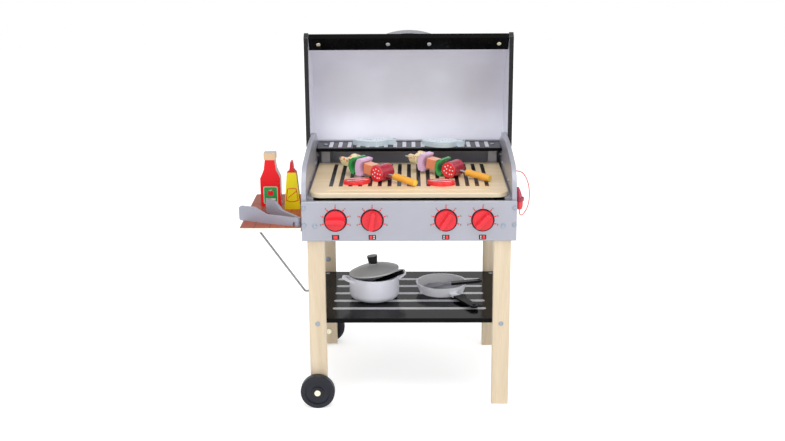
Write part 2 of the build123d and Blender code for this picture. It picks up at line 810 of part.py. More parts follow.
# Fixed hinge halves: a leaf on the firebox side, the two outer knuckles and the pin
with BuildPart() as table_hinge:
    for start in hinge_starts:
        with BuildSketch(front_view(start)):
            with Locations((pin_x, pin_z)):
                Circle(hinge_knuckle)
            with Locations((-half_width - hinge_leaf / 2, pin_z - hinge_leaf_width / 2)):
                Rectangle(hinge_leaf, hinge_leaf_width)
            with Locations(((pin_x - half_width) / 2, pin_z - hinge_knuckle + hinge_leaf / 2)):
                Rectangle(-(pin_x + half_width), hinge_leaf)
        extrude(amount=-(third - slip_gap))
        with BuildSketch(front_view(start + 2 * third + slip_gap)):
            with Locations((pin_x, pin_z)):
                Circle(hinge_knuckle)
            with Locations((-half_width - hinge_leaf / 2, pin_z - hinge_leaf_width / 2)):
                Rectangle(hinge_leaf, hinge_leaf_width)
            with Locations(((pin_x - half_width) / 2, pin_z - hinge_knuckle + hinge_leaf / 2)):
                Rectangle(-(pin_x + half_width), hinge_leaf)
        extrude(amount=-(third - slip_gap))
        with BuildSketch(front_view(start)):
            with Locations((pin_x, pin_z)):
                Circle(hinge_pin)
        extrude(amount=-hinge_length)
keep(table_hinge.part, "table_hinge")

bar_x = pin_x - brace_bar_reach
bar_z = table_top - table_thickness - clip_wall - wire_radius - seat_gap
brace_y = leg_front + leg_thickness / 2

# Moving hinge halves and the wire clips, screwed under the table
with BuildPart() as table_fittings:
    for start in hinge_starts:
        with BuildSketch(front_view(start + third)):
            with Locations((pin_x, pin_z)):
                Circle(hinge_knuckle)
            leaf_z = table_top - table_thickness - hinge_leaf / 2
            with Locations((pin_x - hinge_leaf_width / 2, leaf_z)):
                Rectangle(hinge_leaf_width, hinge_leaf)
            with Locations((pin_x, (pin_z + leaf_z) / 2)):
                Rectangle(hinge_leaf, leaf_z - pin_z)
            with Locations((pin_x, pin_z)):
                Circle(hinge_pin + running_gap, mode=Mode.SUBTRACT)
        extrude(amount=-third)
    for place in (brace_bar_length * clip_share, brace_bar_length - clip_width / 2):
        clip_half = wire_radius + seat_gap + clip_wall
        with BuildSketch(front_view(brace_y + place - clip_width / 2)):
            with Locations((bar_x, bar_z)):
                Circle(clip_half)
            with Locations((bar_x, bar_z + clip_half / 2)):
                Rectangle(2 * clip_half, clip_half)
            with Locations((bar_x, bar_z + clip_half - clip_wall / 2)):
                Rectangle(clip_flange, clip_wall)
            with Locations((bar_x, bar_z)):
                Circle(wire_radius + running_gap, mode=Mode.SUBTRACT)
        extrude(amount=-clip_width)
keep(table_fittings.part, "table_fittings")

# Wire brace: a bar in the clips, a straight arm down to the front leg and a short hook
hook_x = -inner_half - seat_gap
with BuildPart() as brace_wire:
    with BuildLine():
        FilletPolyline((bar_x, brace_y + brace_bar_length, bar_z), (bar_x, brace_y, bar_z),
                       (hook_x - brace_hook, brace_y, brace_hole_height),
                       (hook_x, brace_y, brace_hole_height), radius=wire_radius * 2)
    with BuildSketch(Plane(origin=(bar_x, brace_y + brace_bar_length, bar_z), z_dir=(0, -1, 0))):
        Circle(wire_radius)
    sweep()
keep(brace_wire.part, "brace_wire")

# Play lighter, a drop that leans in at its tip, standing in a ring on the right side board
with BuildPart() as play_lighter:
    for share, width_share in lighter_shares:
        station_plane = Plane(origin=(lighter_x - lighter_lean * share ** 2, lighter_y,
                                      lighter_bottom + share * lighter_length))
        with BuildSketch(station_plane):
            Circle(lighter_radius * width_share)
    loft()
keep(play_lighter.part, "play_lighter")

with BuildPart() as lighter_hook:
    with BuildSketch(Plane(origin=(half_width, hook_y, hook_z), z_dir=(1, 0, 0))):
        Circle(hook_bead)
    extrude(amount=hook_bead)
    with Locations(Plane(origin=(half_width, hook_y, hook_z), z_dir=(-1, 0, 0))):
        Cylinder(screw_shank, plywood / 2, align=(Align.CENTER, Align.CENTER, Align.MIN))
    ring_z = lighter_bottom + lighter_length * ring_share
    ring_x = lighter_x - lighter_lean * ring_share ** 2
    with BuildSketch(Plane.XY.offset(ring_z)):
        with Locations((ring_x, lighter_y)):
            Circle(lighter_radius + slip_gap + ring_wall)
        with Locations(((half_width + ring_x) / 2, lighter_y)):
            Rectangle(ring_x - half_width, 2 * lighter_radius)
        with Locations((ring_x, lighter_y)):
            Circle(lighter_radius + slip_gap, mode=Mode.SUBTRACT)
        with Locations((half_width - overrun, lighter_y)):
            Rectangle(2 * overrun, 2 * (lighter_radius + overrun), mode=Mode.SUBTRACT)
    extrude(amount=ring_height)
keep(lighter_hook.part, "lighter_hook")

# Cord from the bead to the lighter's foot, as straight runs with tangent arcs
cord_route = [
    (half_width + hook_bead, hook_y, hook_z),
    (half_width + hook_bead + cord_lead, hook_y, hook_z),
    *((half_width + out, y, z) for out, y, z in cord_bends),
    (lighter_x, lighter_y, lighter_bottom - cord_foot),
    (lighter_x, lighter_y, lighter_bottom),
]


def corner_radii(route):
    """The radius of each corner: as large as the shorter of its two runs allows."""
    radii = []
    for before, corner, after in zip(route, route[1:], route[2:]):
        run_in = Vector(*corner) - Vector(*before)
        run_out = Vector(*after) - Vector(*corner)
        turn = math.radians(run_in.get_angle(run_out))
        radii.append(corner_share * min(run_in.length, run_out.length) / math.tan(turn / 2))
    return radii


cord_radii = corner_radii(cord_route)
with BuildPart() as lighter_cord:
    with BuildLine() as cord_path:
        FilletPolyline(*cord_route, radius=cord_radii)
    first_run = Vector(*cord_route[1]) - Vector(*cord_route[0])
    with BuildSketch(Plane(origin=cord_route[0], z_dir=first_run)):
        Circle(cord_radius)
    sweep()
keep(lighter_cord.part, "lighter_cord")
cord_length = sum(edge.length for edge in cord_path.edges())
print("cord radii", [round(radius, 1) for radius in cord_radii], "length", round(cord_length, 1))
print("cord volume over section times length",
      round(lighter_cord.part.volume / (math.pi * cord_radius ** 2 * cord_length), 4))


# Bottles: flat cut-outs, each given as half an outline from its foot up to its tip
def bottle(place, thickness, half_outline, soft_corners):
    x, y = place
    right_side = [(x + reach, table_top + rise) for reach, rise in half_outline]
    left_side = [(x - reach, table_top + rise) for reach, rise in reversed(half_outline)]
    with BuildPart() as body:
        with BuildSketch(front_view(y + thickness)):
            with BuildLine():
                Polyline(*right_side, *left_side, close=True)
            make_face()
        extrude(amount=thickness)
        upright = body.edges().filter_by(Axis.Y).group_by(Axis.Z)
        for level in soft_corners:
            fillet(upright[level], bottle_round)
    return body.part


cap_base = ketchup_height - ketchup_cap_height
ketchup_half = ketchup_width / 2
keep(bottle(ketchup_place, ketchup_thickness,
            ((ketchup_half, 0), (ketchup_half, cap_base - ketchup_slope),
             (ketchup_half * ketchup_middle_share, cap_base - ketchup_slope * ketchup_slope_share),
             (ketchup_neck / 2, cap_base), (ketchup_cap_width / 2, cap_base),
             (ketchup_cap_width / 2, ketchup_height)), (0,)), "ketchup_bottle")
nozzle_start = mustard_height - nozzle_height
keep(bottle(mustard_place, mustard_thickness,
            ((mustard_width / 2, 0), (mustard_shoulder / 2, nozzle_start),
             (nozzle_base / 2, nozzle_start), (nozzle_middle / 2, nozzle_start + nozzle_flare_height),
             (nozzle_tip / 2, mustard_height)), (0,)), "mustard_bottle")


def tongs_arm(side):
    """One arm of the tongs: a plate on edge that widens into a paddle, and half the pinned joint."""
    angle = math.radians(tongs_mid_angle + side * tongs_half_angle)
    run = (math.cos(angle), math.sin(angle), 0)
    across = (-math.sin(angle), math.cos(angle), 0)
    offset_side = side * (tongs_arm_thickness / 2 + seat_gap)
    base = table_top if side < 0 else table_top + tongs_joint_height / 2 + seat_gap / 2
    knuckle_height = (tongs_joint_height - seat_gap) / 2
    arm_plane = Plane(origin=(tongs_joint[0] + across[0] * offset_side,
                              tongs_joint[1] + across[1] * offset_side, table_top),
                      x_dir=run, z_dir=(math.sin(angle), -math.cos(angle), 0))
    with BuildPart() as body:
        with BuildSketch(arm_plane):
            with BuildLine():
                lower = tongs_joint_height
                plate_start = tongs_knuckle + slip_gap
                paddle_start = tongs_length - tongs_paddle_length
                Polyline((plate_start, 0), (tongs_length, 0), (tongs_length, tongs_paddle_height),
                         (paddle_start, tongs_paddle_height),
                         (paddle_start - tongs_paddle_height * paddle_slope_share, lower),
                         (plate_start, lower),
                         (plate_start, 0))
            make_face()
            with Locations(((plate_start + slip_gap) / 2, base - table_top + knuckle_height / 2)):
                Rectangle(plate_start + slip_gap, knuckle_height)
        extrude(amount=tongs_arm_thickness / 2, both=True)
        tip_edges = body.edges().filter_by(Axis((0, 0, 0), across))
        tip_edges = tip_edges.sort_by(Axis(arm_plane.origin, run))[-2:]
        fillet(tip_edges, bottle_round * 2)
        with BuildSketch(Plane(origin=(tongs_joint[0], tongs_joint[1], base))):
            Circle(tongs_knuckle)
        extrude(amount=knuckle_height)
        if side < 0:
            with BuildSketch(Plane(origin=(tongs_joint[0], tongs_joint[1], base))):
                Circle(tongs_pin)
            extrude(amount=tongs_joint_height)
        else:
            drill((tongs_joint[0], tongs_joint[1], table_top), (0, 0, 1),
                  radius=tongs_pin + running_gap, depth=tongs_joint_height + overrun)
    return body.part


keep(tongs_arm(-1), "tongs_arm_rear")
keep(tongs_arm(1), "tongs_arm_front")


def steak(x, y, turn):
    """A flat oval slice with a rounded rim."""
    with BuildPart() as body:
        with BuildSketch(Plane(origin=(x, y, board_top), x_dir=(math.cos(math.radians(turn)),
                                                                math.sin(math.radians(turn)), 0))):
            with BuildLine():
                half = steak_length / 2
                low = steak_width / 2
                rim = [(half * along_share, low * across_share)
                       for along_share, across_share in steak_shares]
                Spline(*rim, periodic=True)
            make_face()
        extrude(amount=steak_thickness)
        fillet(body.faces().sort_by(Axis.Z)[-1].edges(), bottle_round / 2)
    return body.part


for index, (x, back_set, turn) in enumerate(steak_sets):
    keep(steak(x, board_back - back_set, turn), f"steak_{index + 1}")


def fish(x, y, turn):
    """A flat fish: two bowed edges that meet at the snout and a forked tail."""
    tail = fish_length * fish_tail_share
    half = fish_length / 2
    low = fish_width / 2
    with BuildPart() as body:
        with BuildSketch(Plane(origin=(x, y, fish_z), x_dir=(math.cos(math.radians(turn)),
                                                             math.sin(math.radians(turn)), 0))):
            with BuildLine():
                waist = (half - tail, low * fish_waist_share)
                upper = [(half * run, low * rise) for run, rise in fish_crown_shares]
                lower = [(run, -rise) for run, rise in reversed(upper)]
                Spline((-half, 0), *upper, waist)
                Polyline(waist, (half, low * fish_fin_share), (half - tail / 2, 0),
                         (half, -low * fish_fin_share), (waist[0], -waist[1]))
                Spline((waist[0], -waist[1]), *lower, (-half, 0))
            make_face()
        extrude(amount=fish_thickness)
    return body.part


for index, (x, back_set, turn) in enumerate(fish_sets):
    keep(fish(x, frame_back - back_set, turn), f"fish_{index + 1}")


# Kebabs: each skewer lies with its handle and its meat on the board, so its tip stands higher
meat_reach = skewer_handle_length + bare_rod + meat_radius
skewer_slope = math.asin((meat_radius - skewer_handle_radius) / meat_reach)
food_order = (("meat", "salmon", "onion", "pepper", "pineapple"),
              ("meat", "pepper", "salmon", "onion", "pineapple"))
food_lengths = {"meat": 2 * meat_radius, "salmon": salmon_length,
                "onion": onion_wall + onion_bend - math.sqrt(onion_bend ** 2 - (slice_height / 2) ** 2),
                "pepper": pepper_wall + pepper_bend - math.sqrt(pepper_bend ** 2 - (slice_height / 2) ** 2),
                "pineapple": pineapple_thickness}


def skewer_run(place):
    """The direction of a skewer, from its handle's end to its tip."""
    angle = math.radians(place[2])
    level = math.cos(skewer_slope)
    return (math.cos(angle) * level, math.sin(angle) * level, math.sin(skewer_slope))


def along(place, distance):
    """A point on a skewer's axis, at a distance from its handle's end."""
    run = skewer_run(place)
    return (place[0] + distance * run[0], place[1] + distance * run[1],
            board_top + skewer_handle_radius + distance * run[2])


def skewer(place):
    """A steel rod in a round wooden handle."""
    run = skewer_run(place)
    with BuildPart() as body:
        with Locations(Plane(origin=along(place, 0), z_dir=run)):
            Cylinder(skewer_handle_radius, skewer_handle_length,
                     align=(Align.CENTER, Align.CENTER, Align.MIN))
        fillet(body.edges().filter_by(GeomType.CIRCLE), skewer_radius)
        with Locations(Plane(origin=along(place, skewer_handle_length / 2), z_dir=run)):
            Cylinder(skewer_radius, skewer_length - skewer_handle_length / 2,
                     align=(Align.CENTER, Align.CENTER, Align.MIN))
    return body.part


def food(kind, place, distance):
    """One piece of food, threaded on the skewer from a distance along it."""
    angle = math.radians(place[2])
    run = skewer_run(place)
    across = (-math.sin(angle), math.cos(angle), 0)
    length = food_lengths[kind]
    start = Plane(origin=along(place, distance), x_dir=across, z_dir=run)
    from_side = Plane(origin=along(place, distance + length), x_dir=run, z_dir=across)
    with BuildPart() as body:
        if kind == "meat":
            with Locations(Plane(origin=along(place, distance + length / 2), z_dir=across)):
                Cylinder(meat_radius, meat_length)
            fillet(body.edges().filter_by(GeomType.CIRCLE), skewer_radius)
        elif kind == "salmon":
            with BuildSketch(start):
                RectangleRounded(salmon_size, salmon_size, skewer_radius)
            extrude(amount=length)
        elif kind == "pineapple":
            with BuildSketch(start):
                with Locations((0, pineapple_bend - pineapple_drop)):
                    Circle(pineapple_bend)
                with Locations((0, pineapple_bend - pineapple_drop + pineapple_wall)):
                    Circle(pineapple_bend, mode=Mode.SUBTRACT)
                Rectangle(2 * pineapple_bend, 2 * pineapple_crest, mode=Mode.INTERSECT)
            extrude(amount=length)
        else:
            bend = onion_bend if kind == "onion" else pepper_bend
            wall = onion_wall if kind == "onion" else pepper_wall
            with BuildSketch(from_side):
                with Locations((-bend, 0)):
                    Circle(bend)
                    Circle(bend - wall, mode=Mode.SUBTRACT)
                with Locations((-length / 2, 0)):
                    Rectangle(length, slice_height, mode=Mode.INTERSECT)
            extrude(amount=slice_height / 2, both=True)
        with Locations(Plane(origin=along(place, distance - overrun), z_dir=run)):
            Cylinder(skewer_radius + skewer_hole_gap, length + 2 * overrun,
                     align=(Align.CENTER, Align.CENTER, Align.MIN), mode=Mode.SUBTRACT)
    return body.part


for index, place in enumerate(skewer_places):
    keep(skewer(place), f"skewer_{index + 1}")
    distance = skewer_handle_length + bare_rod
    for kind in food_order[index]:
        keep(food(kind, place, distance), f"{kind}_{index + 1}")
        distance += food_lengths[kind] + food_space


# Pot: a round-bottomed cup with two loop handles, a loose lid and a ladle
pot_centre = (pot_place[0], pot_place[1], shelf_top)
with BuildPart() as pot:
    with BuildSketch(Plane(origin=pot_centre)):
        Circle(pot_radius)
    extrude(amount=pot_height)
    fillet(pot.faces().sort_by(Axis.Z)[0].edges(), pot_round)
    offset(amount=-pot_wall, openings=pot.faces().sort_by(Axis.Z)[-1])
    turn = math.radians(pot_handle_turn)
    tilt = math.radians(pot_handle_tilt)
    rim_face = pot_radius - pot_wall / 2
    for sign in (-1, 1):
        out = (sign * math.cos(turn), sign * math.sin(turn))
        handle_plane = Plane(origin=(pot_place[0] + out[0] * rim_face, pot_place[1] + out[1] * rim_face,
                                     shelf_top + pot_height * pot_handle_share),
                             x_dir=(out[0] * math.cos(tilt), out[1] * math.cos(tilt), math.sin(tilt)),
                             z_dir=(-out[0] * math.sin(tilt), -out[1] * math.sin(tilt), math.cos(tilt)))
        with BuildSketch(handle_plane):
            Ellipse(pot_handle_reach, pot_handle_width / 2)
            with Locations((-pot_wall / 2, 0)):
                Rectangle(pot_wall, pot_handle_width)
            Ellipse(pot_handle_reach - pot_handle_strap, pot_handle_width / 2 - pot_handle_strap,
                    mode=Mode.SUBTRACT)
            with Locations((-pot_wall / 2, 0)):
                Rectangle(pot_wall, pot_handle_width - 2 * pot_handle_strap, mode=Mode.SUBTRACT)
            with Locations((-pot_wall - pot_handle_reach / 2, 0)):
                Rectangle(pot_handle_reach, pot_handle_width, mode=Mode.SUBTRACT)
        extrude(amount=pot_handle_thickness / 2, both=True)
keep(pot.part, "pot")

# Ladle: its bowl stands in the pot and its handle leans out over the rim
ladle_turn = math.radians(ladle_azimuth)
ladle_flat = (math.cos(ladle_turn), math.sin(ladle_turn))
ladle_start_z = shelf_top + pot_wall + ladle_bowl_radius + seat_gap
rim_reach = pot_radius - pot_wall / 2
ladle_run = rim_reach + ladle_bowl_set
ladle_guess = math.atan((pot_height - pot_wall - ladle_bowl_radius + ladle_radius) / ladle_run)
ladle_rise = pot_height - pot_wall - ladle_bowl_radius + ladle_radius / math.cos(ladle_guess) + slip_gap
ladle_slope = math.atan(ladle_rise / ladle_run)
ladle_axis = (ladle_flat[0] * math.cos(ladle_slope), ladle_flat[1] * math.cos(ladle_slope),
              math.sin(ladle_slope))
ladle_place = (pot_place[0] - ladle_flat[0] * ladle_bowl_set,
               pot_place[1] - ladle_flat[1] * ladle_bowl_set, ladle_start_z)
with BuildPart() as ladle:
    with Locations(ladle_place):
        Sphere(ladle_bowl_radius)
        Sphere(ladle_bowl_radius - ladle_wall, mode=Mode.SUBTRACT)
    brim = (ladle_place[0], ladle_place[1], ladle_start_z + ladle_bowl_radius * ladle_brim_share)
    split(bisect_by=Plane(origin=brim, z_dir=(0, 0, -1)), keep=Keep.TOP)
    handle_origin = tuple(Vector(*ladle_place) + Vector(*ladle_axis) * (ladle_bowl_radius - ladle_wall / 2))
    with Locations(Plane(origin=handle_origin, z_dir=ladle_axis)):
        Cylinder(ladle_radius, ladle_length, align=(Align.CENTER, Align.CENTER, Align.MIN))
keep(ladle.part, "ladle")

# Pot lid: one edge on the rim, the other held up by the ladle's handle
lid_rest = 2 * ladle_radius / math.cos(ladle_slope) + 2 * slip_gap
lid_tilt = math.atan(lid_rest / (2 * pot_radius)) * pot_lid_tilt_share
lid_up = (-ladle_flat[0] * math.sin(lid_tilt), -ladle_flat[1] * math.sin(lid_tilt), math.cos(lid_tilt))
pot_lid_base = Plane(origin=(pot_place[0], pot_place[1],
                             shelf_top + pot_height + seat_gap + pot_radius * math.tan(lid_tilt)),
                     z_dir=lid_up)
with BuildPart() as pot_lid:
    half_section = Plane(origin=pot_lid_base.origin, x_dir=pot_lid_base.x_dir,
                         z_dir=pot_lid_base.y_dir * -1)
    with BuildSketch(half_section):
        with BuildLine():
            dome_foot = (pot_radius, pot_lid_thickness)
            dome_crown = (0, pot_lid_thickness + pot_lid_dome)
            Polyline(dome_crown, (0, 0), (pot_radius, 0), dome_foot)
            TangentArc(dome_crown, dome_foot, tangent=(1, 0))
        make_face()
    revolve(axis=Axis(pot_lid_base.origin, lid_up))
    with BuildSketch(pot_lid_base.offset(pot_lid_thickness)):
        Circle(pot_knob_bottom)
    with BuildSketch(pot_lid_base.offset(pot_lid_thickness + pot_lid_dome + pot_knob_height)):
        Circle(pot_knob_top)
    loft()
keep(pot_lid.part, "pot_lid")

# Frying pan with a flat handle and a hanging hole
with BuildPart() as pan:
    with BuildSketch(Plane(origin=(pan_place[0], pan_place[1], shelf_top))):
        Circle(pan_radius * pan_foot_share)
    with BuildSketch(Plane(origin=(pan_place[0], pan_place[1], shelf_top + pan_height))):
        Circle(pan_radius)
    loft()
    with BuildSketch(Plane(origin=(pan_place[0], pan_place[1], shelf_top + pan_wall))):
        Circle(pan_radius * pan_foot_share - pan_wall)
    with BuildSketch(Plane(origin=(pan_place[0], pan_place[1], shelf_top + pan_height))):
        Circle(pan_radius - pan_wall)
    loft(mode=Mode.SUBTRACT)
    turn = math.radians(pan_handle_turn)
    handle_set = pan_radius * pan_foot_share - pan_wall / 2
    handle_start = Plane(origin=(pan_place[0] + handle_set * math.cos(turn),
                                 pan_place[1] + handle_set * math.sin(turn),
                                 shelf_top + pan_height * pan_handle_share),
                         x_dir=(math.cos(turn), math.sin(turn), 0))
    with BuildSketch(handle_start):
        with Locations((pan_handle_length / 2, 0)):
            SlotOverall(pan_handle_length, pan_handle_width)
        with Locations((pan_handle_length - pan_handle_width / 2, 0)):
            Circle(pan_handle_width * hole_share, mode=Mode.SUBTRACT)
    extrude(amount=pan_wall)
keep(pan.part, "pan")

# Spatula: its blade's tip on the pan's floor, its handle over the rim
spatula_angle = math.radians(spatula_turn)
spatula_flat = (math.cos(spatula_angle), math.sin(spatula_angle))
spatula_slope = math.atan((pan_height - pan_wall) / (pan_radius - pan_wall + spatula_tip_set))
spatula_plane = Plane(origin=(pan_place[0] - spatula_flat[0] * spatula_tip_set,
                              pan_place[1] - spatula_flat[1] * spatula_tip_set,
                              shelf_top + pan_wall + slip_gap),
                      x_dir=(spatula_flat[0] * math.cos(spatula_slope),
                             spatula_flat[1] * math.cos(spatula_slope), math.sin(spatula_slope)),
                      z_dir=(-spatula_flat[0] * math.sin(spatula_slope),
                             -spatula_flat[1] * math.sin(spatula_slope), math.cos(spatula_slope)))
with BuildPart() as spatula:
    with BuildSketch(spatula_plane):
        with BuildLine():
            Polyline((0, -spatula_blade_width / 2), (spatula_blade_length, -spatula_neck / 2),
                     (spatula_blade_length, spatula_neck / 2), (0, spatula_blade_width / 2),
                     (0, -spatula_blade_width / 2))
        make_face()
    extrude(amount=spatula_thickness)
    with BuildSketch(spatula_plane):
        with Locations((spatula_blade_length - spatula_neck / 2 + spatula_handle_length / 2, 0)):
            SlotOverall(spatula_handle_length, spatula_handle_width)
        hole_x = spatula_blade_length - spatula_neck / 2 + spatula_handle_length
        with Locations((hole_x - spatula_handle_width / 2, 0)):
            Circle(spatula_handle_width * hole_share, mode=Mode.SUBTRACT)
    extrude(amount=spatula_handle_thickness)
keep(spatula.part, "spatula")

# The part stands on the middle of its footprint, measured without the lighter and its cord
loose_nodes = ("play_lighter", "lighter_cord", "lighter_hook")
boxes = [piece.bounding_box() for piece in pieces if piece.label not in loose_nodes]
middle_x = (min(box.min.X for box in boxes) + max(box.max.X for box in boxes)) / 2
middle_y = (min(box.min.Y for box in boxes) + max(box.max.Y for box in boxes)) / 2
standing = Location((-middle_x, -middle_y, 0))

if __name__ == "__main__":
    os.makedirs("parts", exist_ok=True)
    for piece in pieces:
        moved = piece.moved(standing)
        moved.label = piece.label
        export_step(moved, f"parts/{piece.label}.step")
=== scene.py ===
import math

import bmesh
import bpy
from mathutils import Matrix, Vector


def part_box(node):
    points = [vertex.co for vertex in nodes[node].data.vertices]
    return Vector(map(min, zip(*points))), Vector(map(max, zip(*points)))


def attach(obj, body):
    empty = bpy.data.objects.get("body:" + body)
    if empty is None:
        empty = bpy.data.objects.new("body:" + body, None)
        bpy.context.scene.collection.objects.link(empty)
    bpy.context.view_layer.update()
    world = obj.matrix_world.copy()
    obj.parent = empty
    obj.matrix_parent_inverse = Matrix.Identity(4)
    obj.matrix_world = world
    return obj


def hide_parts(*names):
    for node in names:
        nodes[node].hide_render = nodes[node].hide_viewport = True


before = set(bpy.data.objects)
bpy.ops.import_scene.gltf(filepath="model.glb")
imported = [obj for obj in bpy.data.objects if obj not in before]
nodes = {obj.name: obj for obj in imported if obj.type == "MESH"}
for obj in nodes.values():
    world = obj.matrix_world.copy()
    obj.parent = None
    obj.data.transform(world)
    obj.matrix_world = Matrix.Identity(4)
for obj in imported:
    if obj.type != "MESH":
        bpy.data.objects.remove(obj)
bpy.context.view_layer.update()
MM = 0.001
RIGHT, BACK, UP = Vector((1, 0, 0)), Vector((0, 1, 0)), Vector((0, 0, 1))
FORWARD = Vector((0, -1, 0))

# The cabinet's own frame: X from its middle, Y from the panel's front face, Z from the floor, in mm
panel_low, panel_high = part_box("control_panel")
middle_x = (panel_low.x + panel_high.x) / 2
front_y = panel_low.y


def at(x, y, z):
    """A point of the cabinet's own frame, in millimetres, as a point of the row frame in metres."""
    return Vector((middle_x + x * MM, front_y + y * MM, z * MM))


# Shader helpers

def shader(name, roughness=0.4, metallic=0.0, coat=0.0, specular=0.5):
    """A new material with its main shader and its object coordinates."""
    material = bpy.data.materials.new(name)
    material.use_nodes = True
    tree = material.node_tree
    bsdf = tree.nodes["Principled BSDF"]
    bsdf.inputs["Roughness"].default_value = roughness
    bsdf.inputs["Metallic"].default_value = metallic
    bsdf.inputs["Coat Weight"].default_value = coat
    bsdf.inputs["Coat Roughness"].default_value = 0.12
    bsdf.inputs["Specular IOR Level"].default_value = specular
    coordinates = tree.nodes.new("ShaderNodeTexCoord")
    return material, tree, bsdf, coordinates


def plug(tree, socket, value):
    """Links an output to a socket, or sets the socket to a plain value."""
    if isinstance(value, bpy.types.NodeSocket):
        tree.links.new(value, socket)
    else:
        socket.default_value = value


def noise(tree, vector, scale, detail=4.0, roughness=0.55, distortion=0.0):
    node = tree.nodes.new("ShaderNodeTexNoise")
    node.inputs["Scale"].default_value = scale
    node.inputs["Detail"].default_value = detail
    node.inputs["Roughness"].default_value = roughness
    node.inputs["Distortion"].default_value = distortion
    plug(tree, node.inputs["Vector"], vector)
    return node.outputs["Fac"]


def ramp(tree, factor, stops):
    node = tree.nodes.new("ShaderNodeValToRGB")
    elements = node.color_ramp.elements
    while len(elements) < len(stops):
        elements.new(0.5)
    for element, (place, colour) in zip(elements, stops):
        element.position = place
        element.color = (*colour, 1.0)
    plug(tree, node.inputs["Fac"], factor)
    return node.outputs["Color"]


def stretch(tree, vector, scale):
    node = tree.nodes.new("ShaderNodeMapping")
    node.inputs["Scale"].default_value = scale
    plug(tree, node.inputs["Vector"], vector)
    return node.outputs["Vector"]


def maths(tree, operation, *values):
    node = tree.nodes.new("ShaderNodeMath")
    node.operation = operation
    for socket, value in zip(node.inputs, values):
        plug(tree, socket, value)
    return node.outputs["Value"]


def vector_maths(tree, operation, *values, output="Vector"):
    node = tree.nodes.new("ShaderNodeVectorMath")
    node.operation = operation
    for socket, value in zip(node.inputs, values):
        plug(tree, socket, value)
    return node.outputs[output]


def weigh(tree, broad, fine):
    """Seven parts of a broad pattern with three parts of a fine one."""
    return maths(tree, "ADD", maths(tree, "MULTIPLY", broad, 0.7),
                 maths(tree, "MULTIPLY", fine, 0.3))


def mix(tree, factor, first, second, blend_type="MIX"):
    node = tree.nodes.new("ShaderNodeMix")
    node.data_type = "RGBA"
    node.blend_type = blend_type
    plug(tree, node.inputs["Factor"], factor)
    sockets = [socket for socket in node.inputs if socket.type == "RGBA"]
    for socket, value in zip(sockets, (first, second)):
        plug(tree, socket, (*value, 1.0) if isinstance(value, tuple) else value)
    return [socket for socket in node.outputs if socket.type == "RGBA"][0]


def map_range(tree, value, **limits):
    node = tree.nodes.new("ShaderNodeMapRange")
    for name, limit in limits.items():
        node.inputs[name.replace("_", " ").title()].default_value = limit
    plug(tree, node.inputs["Value"], value)
    return node.outputs["Result"]


def bump(tree, bsdf, height, strength, distance):
    node = tree.nodes.new("ShaderNodeBump")
    node.inputs["Strength"].default_value = strength
    node.inputs["Distance"].default_value = distance
    plug(tree, node.inputs["Height"], height)
    plug(tree, bsdf.inputs["Normal"], node.outputs["Normal"])


def uneven_gloss(tree, bsdf, vector, low, high, scale):
    """Roughness that wanders between two values."""
    gloss = map_range(tree, noise(tree, vector, scale, 3.0), from_min=0.3, from_max=0.7,
                      to_min=low, to_max=high)
    plug(tree, bsdf.inputs["Roughness"], gloss)


def shade(colour, share):
    return tuple(max(0.0, min(1.0, channel * share)) for channel in colour)


# Masks: each is a function that gives 1 on its part of a surface, in the object's own axes

def facing(direction, least=0.7):
    """The faces that look one way."""
    def mask(tree, coordinates):
        share = vector_maths(tree, "DOT_PRODUCT", coordinates.outputs["Normal"], tuple(direction),
                             output="Value")
        return maths(tree, "GREATER_THAN", share, least)
    return mask


def from_point(tree, coordinates, point):
    """The vector from a fixed point to the surface."""
    return vector_maths(tree, "SUBTRACT", coordinates.outputs["Object"], tuple(point))


def facing_point(point, keep_axes=(1, 1, 1), most=-0.0005):
    """The faces that look towards a point inside a hollow."""
    def mask(tree, coordinates):
        flat = vector_maths(tree, "MULTIPLY", from_point(tree, coordinates, point), keep_axes)
        share = vector_maths(tree, "DOT_PRODUCT", coordinates.outputs["Normal"], flat,
                             output="Value")
        return maths(tree, "LESS_THAN", share, most)
    return mask


def past(point, direction, distance):
    """What lies further than a distance from a point, along a direction."""
    def mask(tree, coordinates):
        reach = vector_maths(tree, "DOT_PRODUCT", from_point(tree, coordinates, point),
                             tuple(direction), output="Value")
        return maths(tree, "GREATER_THAN", reach, distance)
    return mask


def above(height):
    return past((0, 0, 0), UP, height)


def off_axis(point, radius, keep_axes=(1, 1, 0)):
    """What lies further than a radius from an axis through a point."""
    def mask(tree, coordinates):
        flat = vector_maths(tree, "MULTIPLY", from_point(tree, coordinates, point), keep_axes)
        length = vector_maths(tree, "LENGTH", flat, output="Value")
        return maths(tree, "GREATER_THAN", length, radius)
    return mask


def both(first, second):
    def mask(tree, coordinates):
        return maths(tree, "MULTIPLY", first(tree, coordinates), second(tree, coordinates))
    return mask


def spotted(scale, least):
    """Irregular spots."""
    def mask(tree, coordinates):
        spots = noise(tree, coordinates.outputs["Object"], scale, 1.0)
        return maths(tree, "GREATER_THAN", spots, least)
    return mask


# Materials

DRIFT_SCALE = 14.0
PEEL_SCALE = 900.0
PEEL_DEPTH = 0.0004


def peel_bump(tree, bsdf, vector, strength=0.04):
    """The faint orange peel of sprayed lacquer."""
    bump(tree, bsdf, noise(tree, vector, PEEL_SCALE, 2.0), strength, PEEL_DEPTH)


